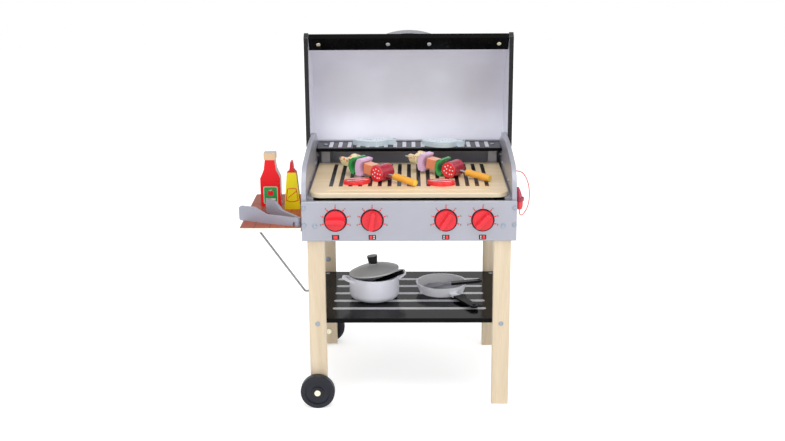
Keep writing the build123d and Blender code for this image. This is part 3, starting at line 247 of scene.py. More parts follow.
def lacquer(name, base, parts=(), roughness=0.3, coat=0.25, metallic=0.0, specular=0.5,
            variation=0.06, peel=0.04, metal_of=None):
    """Sprayed lacquer on wood, with soft colour drift, uneven gloss and a faint orange peel. Each
    part is a mask and its colour, painted over the ones before."""
    material, tree, bsdf, coordinates = shader(name, roughness, metallic, coat, specular)
    vector = coordinates.outputs["Object"]
    drift = noise(tree, vector, DRIFT_SCALE, 3.0)

    def tone(colour):
        return ramp(tree, drift, [(0.3, shade(colour, 1 - variation)),
                                  (0.7, shade(colour, 1 + variation))])

    colour = tone(base)
    for mask_of, paint in parts:
        colour = mix(tree, mask_of(tree, coordinates), colour, tone(paint))
    plug(tree, bsdf.inputs["Base Color"], colour)
    if metal_of is not None:
        plug(tree, bsdf.inputs["Metallic"], metal_of(tree, coordinates))
    uneven_gloss(tree, bsdf, vector, roughness * 0.85, roughness * 1.2, 35.0)
    peel_bump(tree, bsdf, vector, peel)
    return material


def birch(tree, bsdf, vector, direction, rings, fibres, tones):
    """Birch with slow rings and long fibres along its grain: its colour and its coordinates."""
    along = stretch(tree, vector, direction)
    broad = noise(tree, along, rings, 5.0, 0.6, 1.2)
    fibre = noise(tree, along, fibres, 3.0, 0.7)
    bump(tree, bsdf, fibre, 0.06, 0.0003)
    return ramp(tree, weigh(tree, broad, fibre), list(zip((0.32, 0.5, 0.66), tones))), along


def leg_birch():
    """Lacquered birch with upright grain."""
    material, tree, bsdf, coordinates = shader("birch_upright", 0.45, 0.0, 0.15)
    tones = ((0.6, 0.48, 0.33), (0.68, 0.56, 0.4), (0.76, 0.64, 0.47))
    vector = coordinates.outputs["Object"]
    colour, along = birch(tree, bsdf, vector, (1, 1, 0.06), 26.0, 416.0, tones)
    plug(tree, bsdf.inputs["Base Color"], colour)
    uneven_gloss(tree, bsdf, along, 0.3825, 0.5175, 60.0)
    return material


def grooved_board():
    """The grill board: birch with the floors of its long grooves painted black."""
    material, tree, bsdf, coordinates = shader("grill_board_birch", 0.42, 0.0, 0.2)
    vector = coordinates.outputs["Object"]
    tones = ((0.76, 0.56, 0.32), (0.83, 0.65, 0.41), (0.9, 0.74, 0.51))
    colour, along = birch(tree, bsdf, vector, (0.06, 1, 1), 22.0, 400.0, tones)
    lift = vector_maths(tree, "DOT_PRODUCT", coordinates.outputs["Normal"], tuple(UP),
                        output="Value")
    colour = mix(tree, maths(tree, "LESS_THAN", lift, 0.6), colour, (0.86, 0.73, 0.53))
    split = tree.nodes.new("ShaderNodeSeparateXYZ")
    plug(tree, split.inputs["Vector"], vector)
    low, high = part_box("grill_board")
    groove = maths(tree, "GREATER_THAN", lift, 0.9)
    for test, axis, limit in (("LESS_THAN", "Z", high.z - 0.3 * MM),
                              ("GREATER_THAN", "Z", high.z - 1.3 * MM),
                              ("GREATER_THAN", "Y", low.y + 45 * MM)):
        groove = maths(tree, "MULTIPLY", groove, maths(tree, test, split.outputs[axis], limit))
    plug(tree, bsdf.inputs["Base Color"], mix(tree, groove, colour, (0.008, 0.007, 0.008)))
    uneven_gloss(tree, bsdf, along, 0.34, 0.5, 60.0)
    return material


def steel(name, colour, roughness):
    """Plated steel with fine turning marks."""
    material, tree, bsdf, coordinates = shader(name, roughness, 1.0)
    vector = coordinates.outputs["Object"]
    drift = noise(tree, vector, 160.0, 4.0)
    plug(tree, bsdf.inputs["Base Color"],
         ramp(tree, drift, [(0.3, shade(colour, 0.85)), (0.7, shade(colour, 1.08))]))
    uneven_gloss(tree, bsdf, vector, roughness * 0.7, roughness * 1.4, 300.0)
    bump(tree, bsdf, noise(tree, stretch(tree, vector, (1, 1, 12)), 400.0, 2.0), 0.05, 0.0002)
    return material


# The lid's inner silver: the cabinet's silver lacquer painted about twice as bright, as painted
# light for the light that falls into the open lid
LID_SILVER_PAINTED_LIGHT = (0.8, 0.8, 0.88)
LID_BLACK = (0.006, 0.006, 0.007)
LID_ROUGH_IN = 0.34
LID_ROUGH_OUT = 0.16


def lid_paint(name, inside_of):
    """A board of the lid, silver on its inner face and gloss black outside. The inner silver is
    painted brighter than the cabinet's silver lacquer: painted light for the light that falls into
    the open lid.
    """
    material, tree, bsdf, coordinates = shader(name, LID_ROUGH_IN, 0.0, 0.0, 0.3)
    vector = coordinates.outputs["Object"]
    mask = inside_of(tree, coordinates)
    drift = noise(tree, vector, DRIFT_SCALE, 3.0)
    inner = ramp(tree, drift, [(0.3, shade(LID_SILVER_PAINTED_LIGHT, 0.97)), (0.7, shade(LID_SILVER_PAINTED_LIGHT, 1.03))])
    outer = ramp(tree, drift, [(0.3, shade(LID_BLACK, 0.8)), (0.7, shade(LID_BLACK, 1.2))])
    plug(tree, bsdf.inputs["Base Color"], mix(tree, mask, outer, inner))
    base = maths(tree, "MULTIPLY_ADD", mask, LID_ROUGH_IN - LID_ROUGH_OUT, LID_ROUGH_OUT)
    spread = maths(tree, "SUBTRACT", noise(tree, vector, 35.0, 3.0), 0.5)
    plug(tree, bsdf.inputs["Roughness"],
         maths(tree, "ADD", base, maths(tree, "MULTIPLY", spread, 0.1)))
    plug(tree, bsdf.inputs["Metallic"], maths(tree, "MULTIPLY", mask, 0.25))
    peel_bump(tree, bsdf, vector)
    return material


def brick_print():
    """A brick print whose warmth grows towards the firebox."""
    material, tree, bsdf, coordinates = shader("brick_print", 0.45, 0.0, 0.0, 0.12)
    vector = coordinates.outputs["Object"]
    turned = tree.nodes.new("ShaderNodeMapping")
    turned.inputs["Rotation"].default_value = (0, 0, math.radians(90))
    plug(tree, turned.inputs["Vector"], vector)
    bricks = tree.nodes.new("ShaderNodeTexBrick")
    for name, value in (("Scale", 1.0), ("Brick Width", 0.066), ("Row Height", 0.03),
                        ("Mortar Size", 0.0012), ("Mortar Smooth", 0.4),
                        ("Color1", (0.47, 0.14, 0.085, 1)), ("Color2", (0.36, 0.1, 0.07, 1)),
                        ("Mortar", (0.24, 0.08, 0.06, 1)), ("Vector", turned.outputs["Vector"])):
        plug(tree, bricks.inputs[name], value)
    split = tree.nodes.new("ShaderNodeSeparateXYZ")
    plug(tree, split.inputs["Vector"], vector)
    low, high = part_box("side_table")
    warmth = map_range(tree, split.outputs["X"], from_min=low.x + (high.x - low.x) * 0.35,
                       from_max=high.x)
    speckle = ramp(tree, noise(tree, vector, 220.0, 5.0),
                   [(0.35, (0.75, 0.75, 0.75)), (0.65, (1, 1, 1))])
    tint = mix(tree, warmth, (1.0, 1.0, 1.0), (1.35, 1.25, 0.7))
    tinted = mix(tree, 1.0, bricks.outputs["Color"], tint, "MULTIPLY")
    plug(tree, bsdf.inputs["Base Color"], mix(tree, 1.0, tinted, speckle, "MULTIPLY"))
    peel_bump(tree, bsdf, vector, 0.03)
    return material


def cord_weave():
    """Red yarn with white flecks that spiral round the cord."""
    material, tree, bsdf, coordinates = shader("cord_weave", 0.75, 0.0, 0.0)
    wave = tree.nodes.new("ShaderNodeTexWave")
    wave.inputs["Scale"].default_value = 260.0
    wave.inputs["Distortion"].default_value = 4.0
    wave.inputs["Detail"].default_value = 2.0
    wave.bands_direction = "DIAGONAL"
    plug(tree, wave.inputs["Vector"], coordinates.outputs["Object"])
    yarn = ramp(tree, wave.outputs["Fac"], [(0.55, (0.72, 0.02, 0.03)), (0.75, (0.85, 0.6, 0.55))])
    plug(tree, bsdf.inputs["Base Color"], yarn)
    bump(tree, bsdf, wave.outputs["Fac"], 0.4, 0.0003)
    return material


STEEL_GREY = (0.55, 0.57, 0.6)
BOTTLE_RED = (0.86, 0.012, 0.018)
MUSTARD_EDGE = (0.62, 0.3, 0.02)
MEAT_FACE = (0.78, 0.02, 0.03)
GRIP_BLACK = (0.004, 0.004, 0.005)
silver = lacquer("silver_lacquer", (0.37, 0.378, 0.435), roughness=0.36, coat=0.2, metallic=0.25,
                 variation=0.03)
handle_grey = lacquer("handle_grey_lacquer", (0.25, 0.25, 0.27), roughness=0.34, coat=0.1,
                      metallic=0.3, variation=0.03)
black = lacquer("gloss_black_lacquer", (0.003, 0.003, 0.0035), roughness=0.14, coat=0.0,
                specular=0.06, variation=0.3, peel=0.02)
charcoal = lacquer("charcoal_lacquer", (0.017, 0.018, 0.026), roughness=0.4, coat=0.0,
                   specular=0.25, variation=0.15)
red = lacquer("red_lacquer", (0.78, 0.024, 0.04), roughness=0.28, coat=0.1, specular=0.35)
bright_red = lacquer("bright_red_lacquer", (0.8, 0.02, 0.03), roughness=0.25, coat=0.3)
green = lacquer("green_lacquer", (0.03, 0.33, 0.08), coat=0.3)
white = lacquer("white_lacquer", (0.82, 0.82, 0.82), roughness=0.32, coat=0.3, variation=0.03)
tool_grey = lacquer("tool_grey_lacquer", (0.34, 0.345, 0.42), roughness=0.4, coat=0.0,
                    metallic=0.05)
print_black = lacquer("printed_black", (0.01, 0.009, 0.01), roughness=0.4, coat=0.0,
                      specular=0.25, variation=0.2, peel=0.02)
print_stripe = lacquer("printed_stripe", (0.6, 0.6, 0.64), roughness=0.35, coat=0.2,
                       metallic=0.1, variation=0.05)
pale_green = lacquer("label_rim", (0.5, 0.74, 0.5), roughness=0.4, coat=0.1)
fat = lacquer("fat_lacquer", (0.86, 0.74, 0.74), roughness=0.35, coat=0.2)
dark_red = lacquer("dark_red_lacquer", (0.2, 0.01, 0.02), roughness=0.4, coat=0.1)
scale_grey = lacquer("scale_print", (0.34, 0.44, 0.5), roughness=0.4, coat=0.1)
upright_birch = leg_birch()
zinc = steel("zinc_steel", (0.3, 0.34, 0.4), 0.34)
wire_steel = steel("wire_steel", (0.22, 0.22, 0.23), 0.42)
pale_zinc = steel("pale_zinc", (0.85, 0.8, 0.6), 0.3)
cord_paint = cord_weave()

# Each skewer's line: the lower end of its handle and its direction seen from above, in degrees
SKEWER_PLACES = ((13.5, 80.5, 140.5), (161.0, 118.2, 146.0))
SKEWER_START = 7
HANDLE_LENGTH = 56.2
MEAT_ALONG = 86.5
MEAT_RISE = 9.5
board_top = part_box("grill_board")[1].z / MM


def skewer_line(place):
    """Where a skewer starts and the direction in which it climbs."""
    x, y, azimuth = place
    slope = math.asin(MEAT_RISE / MEAT_ALONG)
    turn = math.radians(azimuth)
    run = Vector((math.cos(turn) * math.cos(slope), math.sin(turn) * math.cos(slope),
                  math.sin(slope)))
    return at(x, y, board_top + SKEWER_START), run


# What each node is painted with
LID_HOLLOW = at(0, 310, 560)
pot_lid_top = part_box("pot_lid")[1].z
pan_middle = at(68, 198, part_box("pan")[0].z / MM + 8)
spatula_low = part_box("spatula")[0]
ketchup_low, ketchup_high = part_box("ketchup_bottle")
mustard_low, mustard_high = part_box("mustard_bottle")
lighter_low, lighter_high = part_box("play_lighter")
lighter_knee = past(lighter_low, -UP, -15 * MM)
node_paint = {
    "grill_board": grooved_board(),
    "lid_side_left": lid_paint("lid_left_paint", facing(RIGHT)),
    "lid_side_right": lid_paint("lid_right_paint", facing(-RIGHT)),
    "lid_skin": lid_paint("lid_skin_paint", facing_point(LID_HOLLOW, (0, 1, 1), -0.01)),
    "lid_handle": handle_grey, "wheel_axles": pale_zinc, "brace_wire": wire_steel,
    "lighter_cord": cord_paint,
    "lid_bolts": lacquer("lid_bolt_zinc", STEEL_GREY, [
        (off_axis(at(0, 0, 0), 170 * MM, (1, 0, 0)), (0.85, 0.78, 0.58))], metallic=0.7),
    "side_table": lacquer("table_birch_edge", (0.9, 0.85, 0.76), [
        (facing(-UP), (0.78, 0.6, 0.38))], roughness=0.45, coat=0.1, variation=0.05),
    "play_lighter": lacquer("lighter_lacquer", (0.42, 0.012, 0.05), [
        (lighter_knee, (0.8, 0.02, 0.03))], roughness=0.25, coat=0.4),
    "lighter_hook": lacquer("hook_lacquer", (0.34, 0.012, 0.04), [
        (above(lighter_high.z + 5 * MM), (0.86, 0.5, 0.03))], roughness=0.28),
    "ketchup_bottle": lacquer("ketchup_lacquer", (0.72, 0.7, 0.68), [
        (facing(FORWARD, 0.75), BOTTLE_RED), (facing(BACK, 0.75), BOTTLE_RED),
        (above(ketchup_high.z - 14 * MM), (0.76, 0.55, 0.34)),
        (both(above(ketchup_high.z - 3 * MM), facing(UP)), (0.5, 0.44, 0.4))],
        roughness=0.32, coat=0.0, specular=0.25),
    "mustard_bottle": lacquer("mustard_lacquer", (0.95, 0.8, 0.012), [
        (facing(RIGHT, 0.5), MUSTARD_EDGE), (facing(-RIGHT, 0.5), MUSTARD_EDGE),
        (above(mustard_high.z - 22 * MM), (0.76, 0.02, 0.03))],
        roughness=0.32, coat=0.0, specular=0.25),
    "pot": lacquer("pot_lacquer", (0.78, 0.79, 0.87), coat=0.2, variation=0.03),
    "pot_lid": lacquer("pot_lid_lacquer", (0.47, 0.47, 0.46), [
        (above(pot_lid_top - 17 * MM), (0.005, 0.005, 0.006)),
        (both(above(pot_lid_top - 5 * MM), facing(UP, 0.8)), (0.3, 0.3, 0.3))],
        roughness=0.35, coat=0.0, specular=0.25),
    "pan": lacquer("pan_lacquer", (0.88, 0.89, 0.94), [
        (facing_point(pan_middle), (0.56, 0.56, 0.57)),
        (off_axis(pan_middle, 54.8 * MM), (0.86, 0.87, 0.92)),
        (off_axis(pan_middle, 64 * MM), GRIP_BLACK)], roughness=0.36, coat=0.0, specular=0.12),
    "spatula": lacquer("spatula_lacquer", (0.26, 0.26, 0.3), [
        (past(spatula_low, RIGHT, 57 * MM), GRIP_BLACK)], roughness=0.36, coat=0.0, specular=0.12),
}
kind_paint = {
    silver: ("control_panel", "firebox_side", "back_panel", "firebox_floor", "inner_battens"),
    black: ("lower_shelf", "warming_rack", "lid_rail", "ladle"),
    zinc: ("frame_bolts", "table_hinge", "table_fittings"),
    upright_birch: ("front_leg", "rear_leg"),
    charcoal: ("wheel_front", "wheel_rear"),
    red: ("knob",),
    tool_grey: ("tongs",),
    green: ("pepper",),
    lacquer("steak_lacquer", (0.78, 0.02, 0.03), roughness=0.25, coat=0.35,
            variation=0.1): ("steak",),
    lacquer("fish_lacquer", (0.6, 0.69, 0.74), [(facing(UP), (0.66, 0.76, 0.8))], coat=0.3,
            metallic=0.05): ("fish",),
}
for count, place in enumerate(SKEWER_PLACES, 1):
    origin, run = skewer_line(place)
    sideways = run.cross(UP).normalized()
    fruit_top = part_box(f"pineapple_{count}")[1].z
    rod = past(origin, run, HANDLE_LENGTH * MM)
    node_paint[f"skewer_{count}"] = lacquer(f"skewer_finish_{count}", (0.86, 0.4, 0.03), [
        (facing(-run, 0.8), (0.86, 0.66, 0.06)), (rod, STEEL_GREY)], metal_of=rod)
    node_paint[f"onion_{count}"] = lacquer(f"onion_lacquer_{count}", (0.74, 0.5, 0.74), [
        (facing(run, 0.2), (0.85, 0.83, 0.85))], roughness=0.32)
    node_paint[f"salmon_{count}"] = lacquer(f"salmon_lacquer_{count}", (0.8, 0.27, 0.13), [
        (facing(UP), (0.86, 0.42, 0.27))], roughness=0.35, variation=0.1)
    node_paint[f"meat_{count}"] = lacquer(f"meat_lacquer_{count}", (0.4, 0.012, 0.035), [
        (facing(sideways, 0.8), MEAT_FACE), (facing(-sideways, 0.8), MEAT_FACE)],
        roughness=0.25, coat=0.4, variation=0.1)
    node_paint[f"pineapple_{count}"] = lacquer(f"pineapple_lacquer_{count}", (0.86, 0.8, 0.48), [
        (both(above(fruit_top - 9 * MM), spotted(240, 0.56)), (0.8, 0.16, 0.05))], roughness=0.35)

for name, node in nodes.items():
    material = node_paint.get(name)
    if material is None:
        material = [paint for paint, kinds in kind_paint.items() if name.startswith(kinds)][0]
    node.data.materials.clear()
    node.data.materials.append(material)
    softened = node.modifiers.new("soft_edges", "BEVEL")
    softened.width = 0.5 * MM
    softened.segments = 2
    softened.limit_method = "ANGLE"
    softened.angle_limit = math.radians(40)


# Prints. A face is its origin and its directions across, up and out. A coat is its height above the
# face and its thickness, in millimetres.

PLAIN_COAT = (0.06, 0.12)
FIRST_COAT = (0.02, 0.1)
SECOND_COAT = (0.13, 0.1)
THIRD_COAT = (0.25, 0.1)
FOOD_COAT = (0.03, 0.1)


def sheet_print(name, outlines, face, material, body, coat=PLAIN_COAT):
    """Printed shapes on a flat face: each outline is a list of (u, v) points in millimetres."""
    origin, across, up, out = face
    lift, thick = coat
    build = bmesh.new()
    for outline in outlines:
        low, high = [[build.verts.new(origin + across * (u * MM) + up * (v * MM)
                                      + out * (height * MM)) for u, v in outline]
                     for height in (lift, lift + thick)]
        build.faces.new(high)
        build.faces.new(low[::-1])
        for index in range(len(outline)):
            build.faces.new((low[index - 1], low[index], high[index], high[index - 1]))
    bmesh.ops.recalc_face_normals(build, faces=build.faces)
    mesh = bpy.data.meshes.new(name)
    build.to_mesh(mesh)
    build.free()
    thing = bpy.data.objects.new(name, mesh)
    bpy.context.collection.objects.link(thing)
    thing.data.materials.append(material)
    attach(thing, body)


def top_face(node):
    """The middle of a node's upper side, seen from above."""
    low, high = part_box(node)
    return Vector(((low.x + high.x) / 2, (low.y + high.y) / 2, high.z)), RIGHT, BACK, UP


def turned_face(node, x, y, turn):
    """A place on a node's upper side, turned by an angle in degrees."""
    angle = math.radians(turn)
    across = Vector((math.cos(angle), math.sin(angle), 0))
    return at(x, y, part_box(node)[1].z / MM), across, UP.cross(across), UP


def front_face(x, y, z):
    """A place on a face that looks forwards."""
    return Vector((x, y, z)), RIGHT, UP, FORWARD


def disc(radius, u=0.0, v=0.0, count=48):
    return [(u + radius * math.cos(2 * math.pi * i / count),
             v + radius * math.sin(2 * math.pi * i / count)) for i in range(count)]


def bar(u, v, width, height, turn=0.0):
    """A rectangle about a point, turned by an angle in degrees."""
    cosine, sine = math.cos(math.radians(turn)), math.sin(math.radians(turn))
    corners = [(x * width / 2, y * height / 2) for x, y in ((-1, -1), (1, -1), (1, 1), (-1, 1))]
    return [(u + x * cosine - y * sine, v + x * sine + y * cosine) for x, y in corners]


def rounded_bar(u, v, width, height, radius, steps=6):
    """A rectangle about a point with round corners."""
    reach_u, reach_v = width / 2 - radius, height / 2 - radius
    points = []
    for side_u, side_v, start in ((1, 1, 0), (-1, 1, 90), (-1, -1, 180), (1, -1, 270)):
        for step in range(steps + 1):
            angle = math.radians(start + 90 * step / steps)
            points.append((u + side_u * reach_u + radius * math.cos(angle),
                           v + side_v * reach_v + radius * math.sin(angle)))
    return points


def frame_strokes(corners, stroke):
    """Thin bars along the sides of a closed outline."""
    strokes = []
    for (x0, y0), (x1, y1) in zip(corners, corners[1:] + corners[:1]):
        length = math.hypot(x1 - x0, y1 - y0) + stroke
        slope = math.degrees(math.atan2(y1 - y0, x1 - x0))
        strokes.append(bar((x0 + x1) / 2, (y0 + y1) / 2, length, stroke, slope))
    return strokes


def curved_band(length, width, offset, sag, steps=14):
    """A band along the across direction whose ends bend away from its middle."""
    upper, lower = [], []
    for step in range(steps + 1):
        share = step / steps * 2 - 1
        x = share * length / 2
        y = offset + sag * (1 - share * share)
        half = width / 2 * math.sqrt(max(0.02, 1 - share ** 4))
        upper.append((x, y + half))
        lower.append((x, y - half))
    return lower + upper[::-1]


# Printed stripes on the lower shelf and on the warming rack
SHELF_PITCH = 46.9
RACK_PITCH = 19.5
stripes = [rounded_bar(0, (row - 2) * SHELF_PITCH + 1.5, 310, 12.3, 6) for row in range(5)]
sheet_print("shelf_stripes", stripes, top_face("lower_shelf"), print_stripe, "root")
stripes = [rounded_bar((column - 8.5) * RACK_PITCH, 2, 8, 54, 1.5) for column in range(18)]
sheet_print("rack_stripes", stripes, top_face("warming_rack"), print_stripe, "root")

# Brick print on the side table's top, with a bare edge all round
BARE_EDGE = 2.2
table_low, table_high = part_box("side_table")
table_size = (table_high - table_low) / MM
table_outline = rounded_bar(0, 0, table_size.x - BARE_EDGE, table_size.y - BARE_EDGE, 2.5)
sheet_print("table_print", [table_outline], top_face("side_table"), brick_print(), "side_table")

# Dials behind the knobs: a black disc, seven red ticks, plain numerals and a burner sign
NUMERAL_STROKES = ("tlrbLR", "rR", "trmLb", "trmRb", "lrmR", "tlmRb", "tlmLRb")
NUMERAL_SIZE = 3.0
NUMERAL_STROKE = 0.5
TICK_ANGLES = (197, 163, 128, 90, 52, 17, -17)
TICK_RADIUS = 24.4
NUMERAL_RADIUS = 29.6
SIGN_HEIGHT = 349.525
LIT_SIDES = (0, -1, 1, 1)


def numeral(value, u, v):
    """A numeral of straight strokes about a point."""
    half = NUMERAL_SIZE / 2
    wide = NUMERAL_SIZE * 0.28
    level, upright = (2 * wide, NUMERAL_STROKE), (NUMERAL_STROKE, half)
    places = {"t": (0, half, *level), "m": (0, 0, *level), "b": (0, -half, *level),
              "l": (-wide, half / 2, *upright), "r": (wide, half / 2, *upright),
              "L": (-wide, -half / 2, *upright), "R": (wide, -half / 2, *upright)}
    strokes = [places[key] for key in NUMERAL_STROKES[value]]
    return [bar(u + x, v + y, width, height) for x, y, width, height in strokes]


for index, lit_side in enumerate(LIT_SIDES, 1):
    low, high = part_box(f"knob_{index}")
    middle = (low + high) / 2
    dial = front_face(middle.x, front_y, middle.z)
    sign = front_face(middle.x, front_y, SIGN_HEIGHT * MM)
    ticks = []
    numbers = []
    for value, angle in enumerate(TICK_ANGLES):
        u, v = math.cos(math.radians(angle)), math.sin(math.radians(angle))
        ticks.append(bar(TICK_RADIUS * u, TICK_RADIUS * v, 5.4, 2.6, angle))
        numbers += numeral(value, NUMERAL_RADIUS * u, NUMERAL_RADIUS * v - 0.3)
    sheet_print(f"dial_disc_{index}", [disc(22.4)], dial, print_black, "root", FIRST_COAT)
    sheet_print(f"dial_ticks_{index}", ticks, dial, bright_red, "root", SECOND_COAT)
    sheet_print(f"dial_numbers_{index}", numbers, dial, print_black, "root", (0.02, 0.08))
    sheet_print(f"burner_sign_{index}", [rounded_bar(0, 0, 14, 9.6, 0.8)], sign, print_black,
                "root", FIRST_COAT)
    lit = bar(lit_side * 2.4, 0, 5.0, 6.8) if lit_side else bar(-0.2, 0, 8.2, 6.8)
    sheet_print(f"burner_lit_{index}", [lit], sign, bright_red, "root", SECOND_COAT)
    if lit_side:
        dots = [disc(1.3, lit_side * -3.4, height, 16) for height in (1.8, -1.8)]
        sheet_print(f"burner_dots_{index}", dots, sign, white, "root", SECOND_COAT)

# Labels on the bottles
ketchup_face = front_face((ketchup_low.x + ketchup_high.x) / 2, ketchup_low.y,
                          ketchup_low.z + 24 * MM)
for name, shapes, paint, coat in (
        ("label_rim", [rounded_bar(0, 0, 29, 36, 3)], pale_green, FIRST_COAT),
        ("label", [rounded_bar(0, 0, 26, 33, 2.4)], green, SECOND_COAT),
        ("disc", [disc(6.2, 0, 4.5, 32)], bright_red, THIRD_COAT),
        ("leaf", [bar(0, 10.4, 6, 1.4, 12), bar(0, 10.2, 1.3, 3)], pale_green, (0.36, 0.08)),
        ("band", [rounded_bar(0, -8.6, 20, 3.6, 0.6)], white, THIRD_COAT)):
    sheet_print(f"ketchup_{name}", shapes, ketchup_face, paint, "ketchup", coat)

mustard_face = front_face((mustard_low.x + mustard_high.x) / 2, mustard_low.y,
                          mustard_low.z + 30 * MM)
LABEL_CORNERS = [(-8.5, 13), (8.5, 13), (12, -11), (6, -13.4), (0, -14.2), (-6, -13.4), (-12, -11)]
strokes = frame_strokes(LABEL_CORNERS, 1.5) + [bar(0.5, 1, 23, 1.3, 38)]
for count, stroke in enumerate(strokes):
    sheet_print(f"mustard_stroke_{count}", [stroke], mustard_face, bright_red, "mustard",
                (0.02 + 0.012 * count, 0.08))

# Fat flecks on the sausages' flat ends
FLECKS = ((-8, 6), (-2, 9.5), (5, 8), (10, 1.5), (3.5, 1), (-4, 2), (-9.5, -3), (-3.5, -6),
          (3.5, -7.5), (8.5, -6.5))
MEAT_HALF = 19
for count, place in enumerate(SKEWER_PLACES, 1):
    origin, run = skewer_line(place)
    sideways = run.cross(UP).normalized()
    rise = sideways.cross(run).normalized()
    centre = origin + run * (MEAT_ALONG * MM)
    for name, hand in (("near", 1), ("far", -1)):
        meat_end = (centre + sideways * (hand * MEAT_HALF * MM), run * hand, rise, sideways * hand)
        sheet_print(f"meat_flecks_{name}_{count}", [disc(1.5, u, v, 14) for u, v in FLECKS],
                    meat_end, white, f"kebab_{count}", (0.04, 0.1))

# Pale bands and a dark slit on the steaks. A place is X and Y of the cabinet's frame and a turn.
STEAK_PLACES = ((-103.0, 112.0, 12.0), (64.0, 100.0, -14.0))
for count, place in enumerate(STEAK_PLACES, 1):
    steak = f"steak_{count}"
    top = turned_face(steak, *place)
    bands = [curved_band(40, 4.6, 5.6, 3), curved_band(44, 4.6, -7.4, 2)]
    sheet_print(f"steak_fat_{count}", bands, top, fat, steak, FOOD_COAT)
    slit = curved_band(36, 1.6, -1.4, 3)
    sheet_print(f"steak_slits_{count}", [slit], top, dark_red, steak, FOOD_COAT)

# Scales, eye and gill line on the fish
FISH_PLACES = ((-74.0, 314.0, 4.0), (73.0, 300.0, -6.0))
marks = [bar(-20 + column * 6.2, (row - 1) * 8 + (column % 2) * 2, 0.8, 4.6, 8)
         for column in range(7) for row in range(3)]
marks.append(disc(1.8, -33, 3, 18))
marks += [bar(-27 + 1.6 * bend, (bend - 2) * 4.4, 0.9, 4.8, 12 * (bend - 2)) for bend in range(5)]
for count, place in enumerate(FISH_PLACES, 1):
    fish = f"fish_{count}"
    sheet_print(f"fish_scales_{count}", marks, turned_face(fish, *place), scale_grey, fish,
                (0.03, 0.08))


# Crossed slots in the screw heads that look forwards, drawn as thin black sheets: painted shade in
# place of each slot's recess
def islands(thing):
    """The loose parts of a mesh, each as the lowest and highest corner of its box."""
    build = bmesh.new()
    build.from_mesh(thing.data)
    seen, boxes = set(), []
    for start in build.verts:
        if start.index in seen:
            continue
        seen.add(start.index)
        heap, places = [start], []
        while heap:
            vertex = heap.pop()
            places.append(vertex.co.copy())
            for edge in vertex.link_edges:
                other = edge.other_vert(vertex)
                if other.index not in seen:
                    seen.add(other.index)
                    heap.append(other)
        boxes.append((Vector([min(p[i] for p in places) for i in range(3)]),
                      Vector([max(p[i] for p in places) for i in range(3)])))
    build.free()
    return boxes


FRONT_REACH = 12 * MM
HEAD_WIDTH = 12 * MM
SLOT = (0, 0, 4.6, 1.0)
count = 0
for low, high in islands(nodes["frame_bolts"]):
    size = high - low
    if size.y > size.x * 1.05 and low.y < front_y + FRONT_REACH and size.x < HEAD_WIDTH:
        count += 1
        turn = 20 + 31 * count
        head = front_face((low.x + high.x) / 2, low.y, (low.z + high.z) / 2)
        # Each slot is a flat black sheet: painted shade that stands for the dark inside the recess
        sheet_print(f"screw_slot_{count}", [bar(*SLOT, turn)], head, print_black, "root",
                    (-0.02, 0.1))
        sheet_print(f"screw_slot_cross_{count}", [bar(*SLOT, turn + 90)], head, print_black, "root",
                    (-0.02, 0.11))

# Cord of the play lighter: the same route as the solid's, as one smooth curve
CORD_ROUTE = (
    (208.5, 95.0, 457.0), (218.5, 95.0, 457.0), (228.0, 91.0, 449.0), (234.0, 85.0, 434.0),
    (236.0, 77.0, 418.0), (234.5, 68.0, 402.5), (229.5, 58.5, 390.0), (222.5, 51.0, 381.5),
    (216.0, 46.0, 379.5), (213.5, 44.0, 385.5), (213.5, 44.0, 393.0),
)
curve = bpy.data.curves.new("lighter_cord_line", "CURVE")
curve.dimensions = "3D"
curve.bevel_depth = 1.1 * MM
curve.bevel_resolution = 5
curve.resolution_u = 24
spline = curve.splines.new("NURBS")
spline.points.add(len(CORD_ROUTE) - 1)
for point, place in zip(spline.points, CORD_ROUTE):
    point.co = (*at(*place), 1.0)
spline.order_u = 3
spline.use_endpoint_u = True
cord = bpy.data.objects.new("lighter_cord_line", curve)
bpy.context.collection.objects.link(cord)
cord.data.materials.append(cord_paint)
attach(cord, "root")
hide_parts("lighter_cord")


# Floor, light and camera

def pick_for_view(tree, plain, seen, output):
    """Shows one shader to camera, glossy and transmission rays, and the plain one to the others."""
    path = tree.nodes.new("ShaderNodeLightPath")
    pick = tree.nodes.new("ShaderNodeMixShader")
    mirrored = maths(tree, "MAXIMUM", path.outputs["Is Glossy Ray"],
                     path.outputs["Is Transmission Ray"])
    view = maths(tree, "MAXIMUM", path.outputs["Is Camera Ray"], mirrored)
    for socket, source in zip(pick.inputs, (view, plain, seen)):
        plug(tree, socket, source)
    plug(tree, tree.nodes[output].inputs["Surface"], pick.outputs["Shader"])


def make_floor():
    paint, tree, bsdf, _ = shader("floor_paint", 0.6, 0.0, 0.0, 0.2)
    bsdf.inputs["Base Color"].default_value = (0.93, 0.93, 0.93, 1)
    glow = tree.nodes.new("ShaderNodeEmission")
    glow.inputs["Color"].default_value = (1, 1, 1, 1)
    glow.inputs["Strength"].default_value = 0.52
    lifted = tree.nodes.new("ShaderNodeAddShader")
    plug(tree, lifted.inputs[0], bsdf.outputs["BSDF"])
    plug(tree, lifted.inputs[1], glow.outputs["Emission"])
    pick_for_view(tree, bsdf.outputs["BSDF"], lifted.outputs["Shader"], "Material Output")
    bpy.ops.mesh.primitive_circle_add(vertices=96, radius=6.0, fill_type="NGON", location=(0, 0, 0))
    floor = bpy.context.object
    floor.name = "floor"
    floor.data.materials.append(paint)


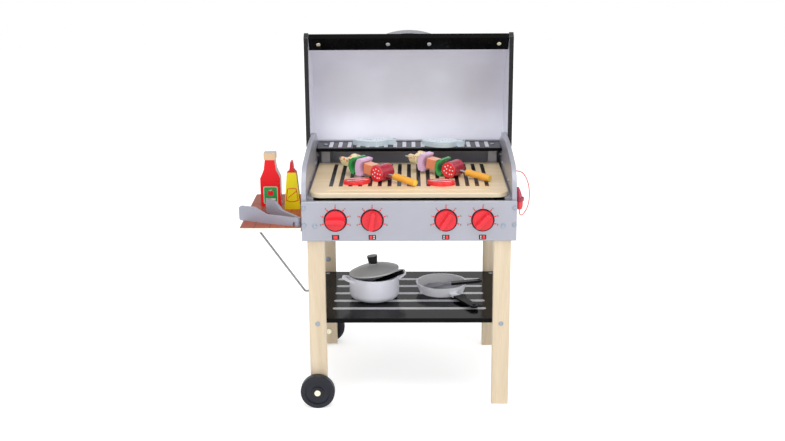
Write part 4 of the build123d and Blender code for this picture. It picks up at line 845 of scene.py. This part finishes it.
def make_world():
    world = bpy.data.worlds.new("studio")
    bpy.context.scene.world = world
    world.use_nodes = True
    tree = world.node_tree
    shown = tree.nodes.new("ShaderNodeBackground")
    for background, strength in ((tree.nodes["Background"], 0.62), (shown, 1.0)):
        background.inputs["Color"].default_value = (1, 1, 1, 1)
        background.inputs["Strength"].default_value = strength
    pick_for_view(tree, tree.nodes["Background"].outputs["Background"],
                  shown.outputs["Background"], "World Output")


def make_lamps():
    """Three soft lamps: each has a place, a point that it aims at, a width and an energy."""
    for name, place, aim, width, energy in (
            ("key_lamp", (-1.2, -2.9, 1.4), (0, 0, 0.5), 1.8, 23),
            ("fill_lamp", (2.3, -2.2, 1.15), (0, 0, 0.45), 2.0, 26),
            ("top_lamp", (0.1, -0.9, 2.5), (0, 0.05, 0.45), 1.6, 21)):
        lamp = bpy.data.lights.new(name, "AREA")
        lamp.size = width
        lamp.energy = energy
        holder = bpy.data.objects.new(name, lamp)
        bpy.context.collection.objects.link(holder)
        holder.location = place
        holder.rotation_mode = "QUATERNION"
        holder.rotation_quaternion = (Vector(aim) - Vector(place)).to_track_quat("-Z", "Y")


def make_camera():
    """The photograph's camera: its place, its turns, and its focal length in the frame's pixels."""
    focal_px = 1168.56
    image_width_px = 785
    pitch, yaw, roll = 0.269124, -0.015593, 0.006857
    cam = bpy.data.cameras.new("camera")
    cam.sensor_width = 36.0
    cam.lens = focal_px / image_width_px * cam.sensor_width
    holder = bpy.data.objects.new("camera", cam)
    bpy.context.collection.objects.link(holder)
    forward = Vector((math.sin(yaw) * math.cos(pitch), math.cos(yaw) * math.cos(pitch),
                      -math.sin(pitch)))
    level = Vector((math.cos(yaw), -math.sin(yaw), 0.0))
    down = forward.cross(level)
    right = level * math.cos(roll) + down * math.sin(roll)
    down = down * math.cos(roll) - level * math.sin(roll)
    turn = Matrix((right, -down, -forward)).transposed().to_4x4()
    holder.matrix_world = Matrix.Translation(at(2.05, -2143.9, 974.2)) @ turn
    bpy.context.scene.camera = holder


make_floor()
make_world()
make_lamps()
make_camera()
bpy.context.scene.view_settings.view_transform = "Standard"
